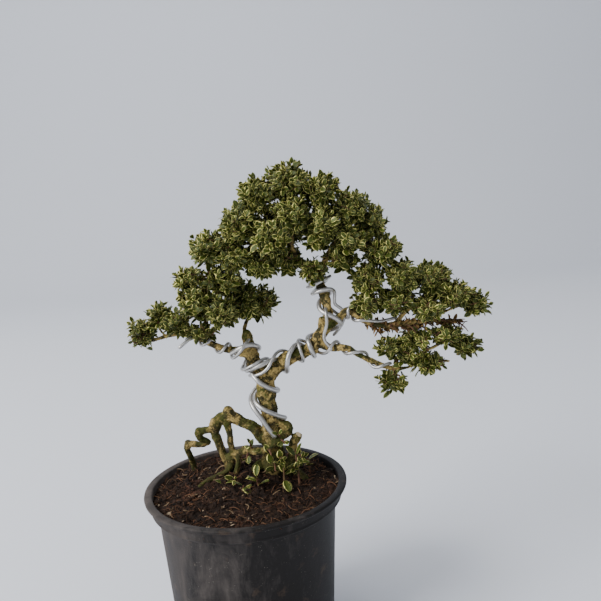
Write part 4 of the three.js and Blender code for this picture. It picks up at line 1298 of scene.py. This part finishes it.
def spray_points(node, spacing, rng):
    """The middle of a CAD spray, and tuft tips spaced out in and just under its skin."""
    mesh = node.data
    co = np.array([tuple(node.matrix_world @ v.co) for v in mesh.vertices])
    mesh.calc_loop_triangles()
    tris = np.array([t.vertices for t in mesh.loop_triangles])
    a, b, c = co[tris[:, 0]], co[tris[:, 1]], co[tris[:, 2]]
    areas = np.linalg.norm(np.cross(b - a, c - a), axis=1) / 2
    centre = (co.min(axis=0) + co.max(axis=0)) / 2
    pick = rng.choice(len(tris), SPRAY_TRIES, p=areas / areas.sum())
    u, v = rng.random((2, SPRAY_TRIES))
    flip = u + v > 1
    u[flip], v[flip] = 1 - u[flip], 1 - v[flip]
    skin = a[pick] + u[:, None] * (b - a)[pick] + v[:, None] * (c - a)[pick]
    depth = rng.uniform(0.3, 1.0, SPRAY_TRIES)[:, None] ** 0.85
    places = centre + (skin - centre) * depth
    kept = []
    for place in places:
        if all(np.linalg.norm(place - other) > spacing for other in kept):
            kept.append(place)
    return centre, kept


def foliage_nodes():
    return sorted(name for name in frame["nodes"] if name.startswith("foliage_"))


class Crown:
    """Tufts sampled in every spray, and the twigs that carry them, made once and shared by two operators."""

    made = None

    def __init__(self, tree, leaf):
        rng = np.random.default_rng(tree.seed)
        self.tufts = []
        for name in foliage_nodes():
            centre, places = spray_points(frame["nodes"][name], leaf.spacing, rng)
            for place in places:
                out = (place - centre) / (np.linalg.norm(place - centre) + 1e-9)
                axis = out * np.array((1, 1, 0.8)) + (0, 0, 0.45) + rng.normal(0, 0.25, 3)
                self.tufts.append((name, place, axis))
        self.grow(rng)

    def grow(self, rng):
        """Joins each tuft to the nearest wood, nearest tufts first, so that twigs fork as they spread."""
        nodes, widths = [], []
        for name, stations in LIMBS.items():
            if name in BARE or stations[0][2] < CROWN_BOTTOM:
                continue
            points, _, radii = curve_points(stations, 5)
            nodes += list(points[4:])
            widths += list(radii[4:])
        self.twigs = []
        left = list(range(len(self.tufts)))
        cloud = np.array(nodes)
        places = np.array([t[1] for t in self.tufts])
        best = np.full(len(places), np.inf)
        link = np.zeros(len(places), int)
        fresh = np.arange(len(cloud))
        while left:
            # Wood above a tuft counts as farther away: twigs grow outwards and up.
            for n in fresh:
                step = places - cloud[n]
                cost = np.linalg.norm(step, axis=1) + np.maximum(0, -step[:, 2]) * 0.8
                better = cost < best
                best[better] = cost[better]
                link[better] = n
            pick = left.pop(int(np.argmin(best[left])))
            start, end = cloud[link[pick]], places[pick]
            span = np.linalg.norm(end - start)
            bend = rng.normal(0, 0.12, 3) * span
            bend[2] -= 0.1 * span
            us = np.linspace(0, 1, 5)
            path = np.array([start + (end - start) * u + bend * 4 * u * (1 - u) * 0.5 for u in us])
            base = min(widths[link[pick]] * 0.85, 0.0009)
            radii = np.linspace(base, min(base, 0.00042), 5)
            self.twigs.append((path, radii))
            fresh = np.arange(len(cloud), len(cloud) + 3)
            cloud = np.vstack([cloud, path[2:]])
            widths += list(radii[2:])


def crown(context):
    if Crown.made is None:
        Crown.made = Crown(context.scene.bonsai_tree, context.scene.bonsai_leaf)
    return Crown.made


class BONSAI_OT_twigs(bpy.types.Operator):
    """Fine twigs that carry the tufts of leaves"""

    bl_idname = "bonsai.twigs"
    bl_label = "Twigs"

    def execute(self, context):
        shapes = [tube(path, radii, 6) for path, radii in crown(context).twigs]
        obj = new_object("tree_twigs", *merged(shapes), twig_material())
        finished(obj, "bark", "tree_wood")
        return {"FINISHED"}


def place_leaves(name, rows, group, material, nodes):
    places = [r[0] for r in rows]
    attributes = (
        ("turn", "FLOAT_VECTOR", [r[1] for r in rows]), ("size", "FLOAT_VECTOR", [r[2] for r in rows]),
        ("kind", "INT", [r[3] for r in rows]), ("tint", "FLOAT", [r[4] for r in rows]),
    )
    carrier = points_object(name, places, attributes)
    obj = Scatter(name).at_points().apply(carrier, name, group, material)
    obj.data.polygons.foreach_set("use_smooth", [True] * len(obj.data.polygons))
    finished(obj, "leaf", *nodes)
    return obj


class BONSAI_OT_foliage(bpy.types.Operator):
    """Tufts of small variegated leaves over every spray"""

    bl_idname = "bonsai.foliage"
    bl_label = "Foliage"

    def execute(self, context):
        tree, leaf = context.scene.bonsai_tree, context.scene.bonsai_leaf
        rng = np.random.default_rng(tree.seed + 1)
        material = leaf_material(leaf)
        group = leaf_set()
        parts = {}
        for name, place, axis in crown(context).tufts:
            part = name.replace("foliage", "leaves")
            rows, nodes = parts.setdefault(part, ([], set()))
            nodes.add(name)
            tuft(rng, place, axis, leaf, rows)
        for part, (rows, nodes) in parts.items():
            place_leaves(part, rows, group, material, sorted(nodes))
        self.dry(rng, leaf, group)
        drop_shapes(group)
        return {"FINISHED"}

    def dry(self, rng, leaf, group):
        """Dead twigs and small brown leaves under the outer halves of the right-hand limbs."""
        samples = [row for row in limb_samples(8) if row[5] in DRY_LIMBS and row[0][0] > DRY_LIMBS[row[5]] * MM]
        rows, twigs = [], []
        for pick in rng.integers(0, len(samples), leaf.dry):
            start, tangent = samples[pick][0], samples[pick][1]
            way = tangent * rng.uniform(0.2, 1.0) + np.array((0, rng.normal(0, 0.5), rng.uniform(-0.9, 0.3)))
            tip = start + way * rng.uniform(0.004, 0.0095)
            bend = rng.normal(0, 0.0006, 3)
            path = np.array([start + (tip - start) * u + bend * u * (1 - u) * 4 for u in np.linspace(0, 1, 5)])
            twigs.append(tube(path, np.linspace(0.0006, 0.00028, 5), 5))
            if rng.random() < 0.75:
                tuft(rng, tip, way, leaf, rows, 1, 0.8)
        finished(new_object("dry_twigs", *merged(twigs), twig_material()), "bark", "tree_wood")
        place_leaves("dry_leaves", rows, group, dry_material(), ["foliage_right_under"])


class BONSAI_OT_sprouts(bpy.types.Operator):
    """Leafy sprouts at the foot of the trunk"""

    bl_idname = "bonsai.sprouts"
    bl_label = "Sprouts"

    def shoot(self, tip, rows, stems, rng, leaf):
        """A short stem from the nearest wood to the tip, with a few small leaves."""
        samples = limb_samples(6)
        nearest = min(samples, key=lambda row: np.linalg.norm(row[0] - tip) - row[4])
        start, way = nearest[0], tip - nearest[0]
        path = np.array([start + way * u + (0, 0, 0.0012 * u * (1 - u)) for u in np.linspace(0, 1, 6)])
        stems.append(tube(path, np.linspace(0.0008, 0.00045, 6), 6))
        axis = way + np.array((0, -0.001, 0.003))
        tuft(rng, tip, axis, leaf, rows, 1, 1.05)

    def execute(self, context):
        tree, leaf = context.scene.bonsai_tree, context.scene.bonsai_leaf
        rng = np.random.default_rng(tree.seed + 2)
        material = bpy.data.materials.get("variegated_leaf") or leaf_material(leaf)
        green = bpy.data.materials.get("young_bark") or twig_material()
        group = leaf_set()
        for name, (stem, leaves) in SPROUTS.items():
            points, _, _ = curve_points(stem, 6)
            obj = new_object(name + "_stem", *tube(points, np.linspace(0.0008, 0.0005, len(points)), 8), green)
            finished(obj, "leaf", name)
            rows = []
            for x, y, z, length, heading, rise in leaves:
                a, b = math.radians(heading), math.radians(rise)
                direction = (math.cos(b) * math.cos(a), math.cos(b) * math.sin(a), math.sin(b))
                size = length * MM * 1.05
                place, sizes = np.array((x, y, z)) * MM, (size, size * 1.1, size)
                kind, tint = rng.integers(0, SHAPES), rng.uniform(0.2, 0.9)
                rows.append((place, turned(direction, (0, 0, 1)), sizes, kind, tint))
            stems = []
            for owner, tip in SHOOTS:
                if owner == name:
                    self.shoot(np.array(tip) * MM, rows, stems, rng, leaf)
            if stems:
                finished(new_object(name + "_shoots", *merged(stems), green), "leaf", name)
            place_leaves(name + "_leaves", rows, group, material, [name])
        drop_shapes(group)
        return {"FINISHED"}


# Stage


class BONSAI_OT_stage(bpy.types.Operator):
    """Pale seamless floor, soft lights and the camera"""

    bl_idname = "bonsai.stage"
    bl_label = "Stage"

    def execute(self, context):
        profile = [(-4.0, 0.0), (1.6, 0.0)]
        profile += [(1.6 + 0.9 * math.sin(t), 0.9 - 0.9 * math.cos(t)) for t in np.linspace(0, math.pi / 2, 14)[1:]]
        profile += [(2.5, 4.5)]
        verts = [(x, y, z - 0.0002) for y, z in profile for x in (-5.0, 5.0)]
        faces = [(2 * k, 2 * k + 1, 2 * k + 3, 2 * k + 2) for k in range(len(profile) - 1)]
        paper = Nodes("pale_backdrop")
        floor = new_object("backdrop", verts, faces, paper.finish((0.78, 0.80, 0.85), 0.95, 0.0, 0.1))
        for name, place, size, power in (
            ("key", (-1.9, -1.2, 1.5), 1.5, 84), ("fill", (1.9, -1.6, 0.9), 2.2, 3),
            ("top", (-0.6, 0.2, 2.6), 2.0, 40),
        ):
            light = bpy.data.lights.new(name, "AREA")
            light.size = size
            light.energy = power
            obj = bpy.data.objects.new(name, light)
            obj.location = place
            obj.rotation_euler = (Vector((0.03, 0, 0.18)) - Vector(place)).to_track_quat("-Z", "Y").to_euler()
            context.scene.collection.objects.link(obj)
        world = bpy.data.worlds.new("studio")
        world.use_nodes = True
        world.node_tree.nodes["Background"].inputs["Color"].default_value = (0.72, 0.78, 0.88, 1)
        world.node_tree.nodes["Background"].inputs["Strength"].default_value = 0.4
        context.scene.world = world
        self.camera(context)
        return {"FINISHED"}

    def camera(self, context):
        """Looks along +Y, a little down and a little tilted, with the whole crown in view."""
        pitch, roll = math.radians(9.3), math.radians(-3.8)
        target = Vector((0.0412, 0, 0.2198))
        distance = 0.4051
        forward = Vector((0, math.cos(pitch), -math.sin(pitch)))
        right = Vector((1, 0, 0))
        up = right.cross(forward)
        tilted_right = math.cos(roll) * right + math.sin(roll) * up
        tilted_up = -math.sin(roll) * right + math.cos(roll) * up
        data = bpy.data.cameras.new("camera")
        data.lens = 40.7
        data.sensor_width = 36
        data.clip_start = 0.01
        data.dof.use_dof = False
        camera = bpy.data.objects.new("camera", data)
        turn = Matrix((tilted_right, tilted_up, -forward)).transposed().to_4x4()
        camera.matrix_world = Matrix.Translation(target - forward * distance) @ turn
        context.scene.collection.objects.link(camera)
        context.scene.camera = camera


class BONSAI_PT_panel(bpy.types.Panel):
    """Lists the pieces of the bonsai"""

    bl_idname = "BONSAI_PT_panel"
    bl_label = "Bonsai"
    bl_space_type = "VIEW_3D"
    bl_region_type = "UI"
    bl_category = "Bonsai"

    def draw(self, context):
        for operator in OPERATORS:
            self.layout.operator(operator.bl_idname)


GROUPS = {
    "bonsai_pot": PotSettings, "bonsai_soil": SoilSettings, "bonsai_tree": TreeSettings, "bonsai_leaf": LeafSettings,
}
OPERATORS = (
    BONSAI_OT_stage, BONSAI_OT_pot, BONSAI_OT_soil, BONSAI_OT_wood, BONSAI_OT_wires, BONSAI_OT_twigs,
    BONSAI_OT_foliage, BONSAI_OT_sprouts,
)


def register():
    for cls in (*GROUPS.values(), *OPERATORS, BONSAI_PT_panel):
        bpy.utils.register_class(cls)
    for name, cls in GROUPS.items():
        setattr(bpy.types.Scene, name, PointerProperty(type=cls))


def unregister():
    for name in GROUPS:
        delattr(bpy.types.Scene, name)
    for cls in (BONSAI_PT_panel, *reversed(OPERATORS), *GROUPS.values()):
        bpy.utils.unregister_class(cls)


def main():
    register()
    for operator in OPERATORS:
        family, name = operator.bl_idname.split(".")
        getattr(getattr(bpy.ops, family), name)()


if __name__ == "__main__":
    main()
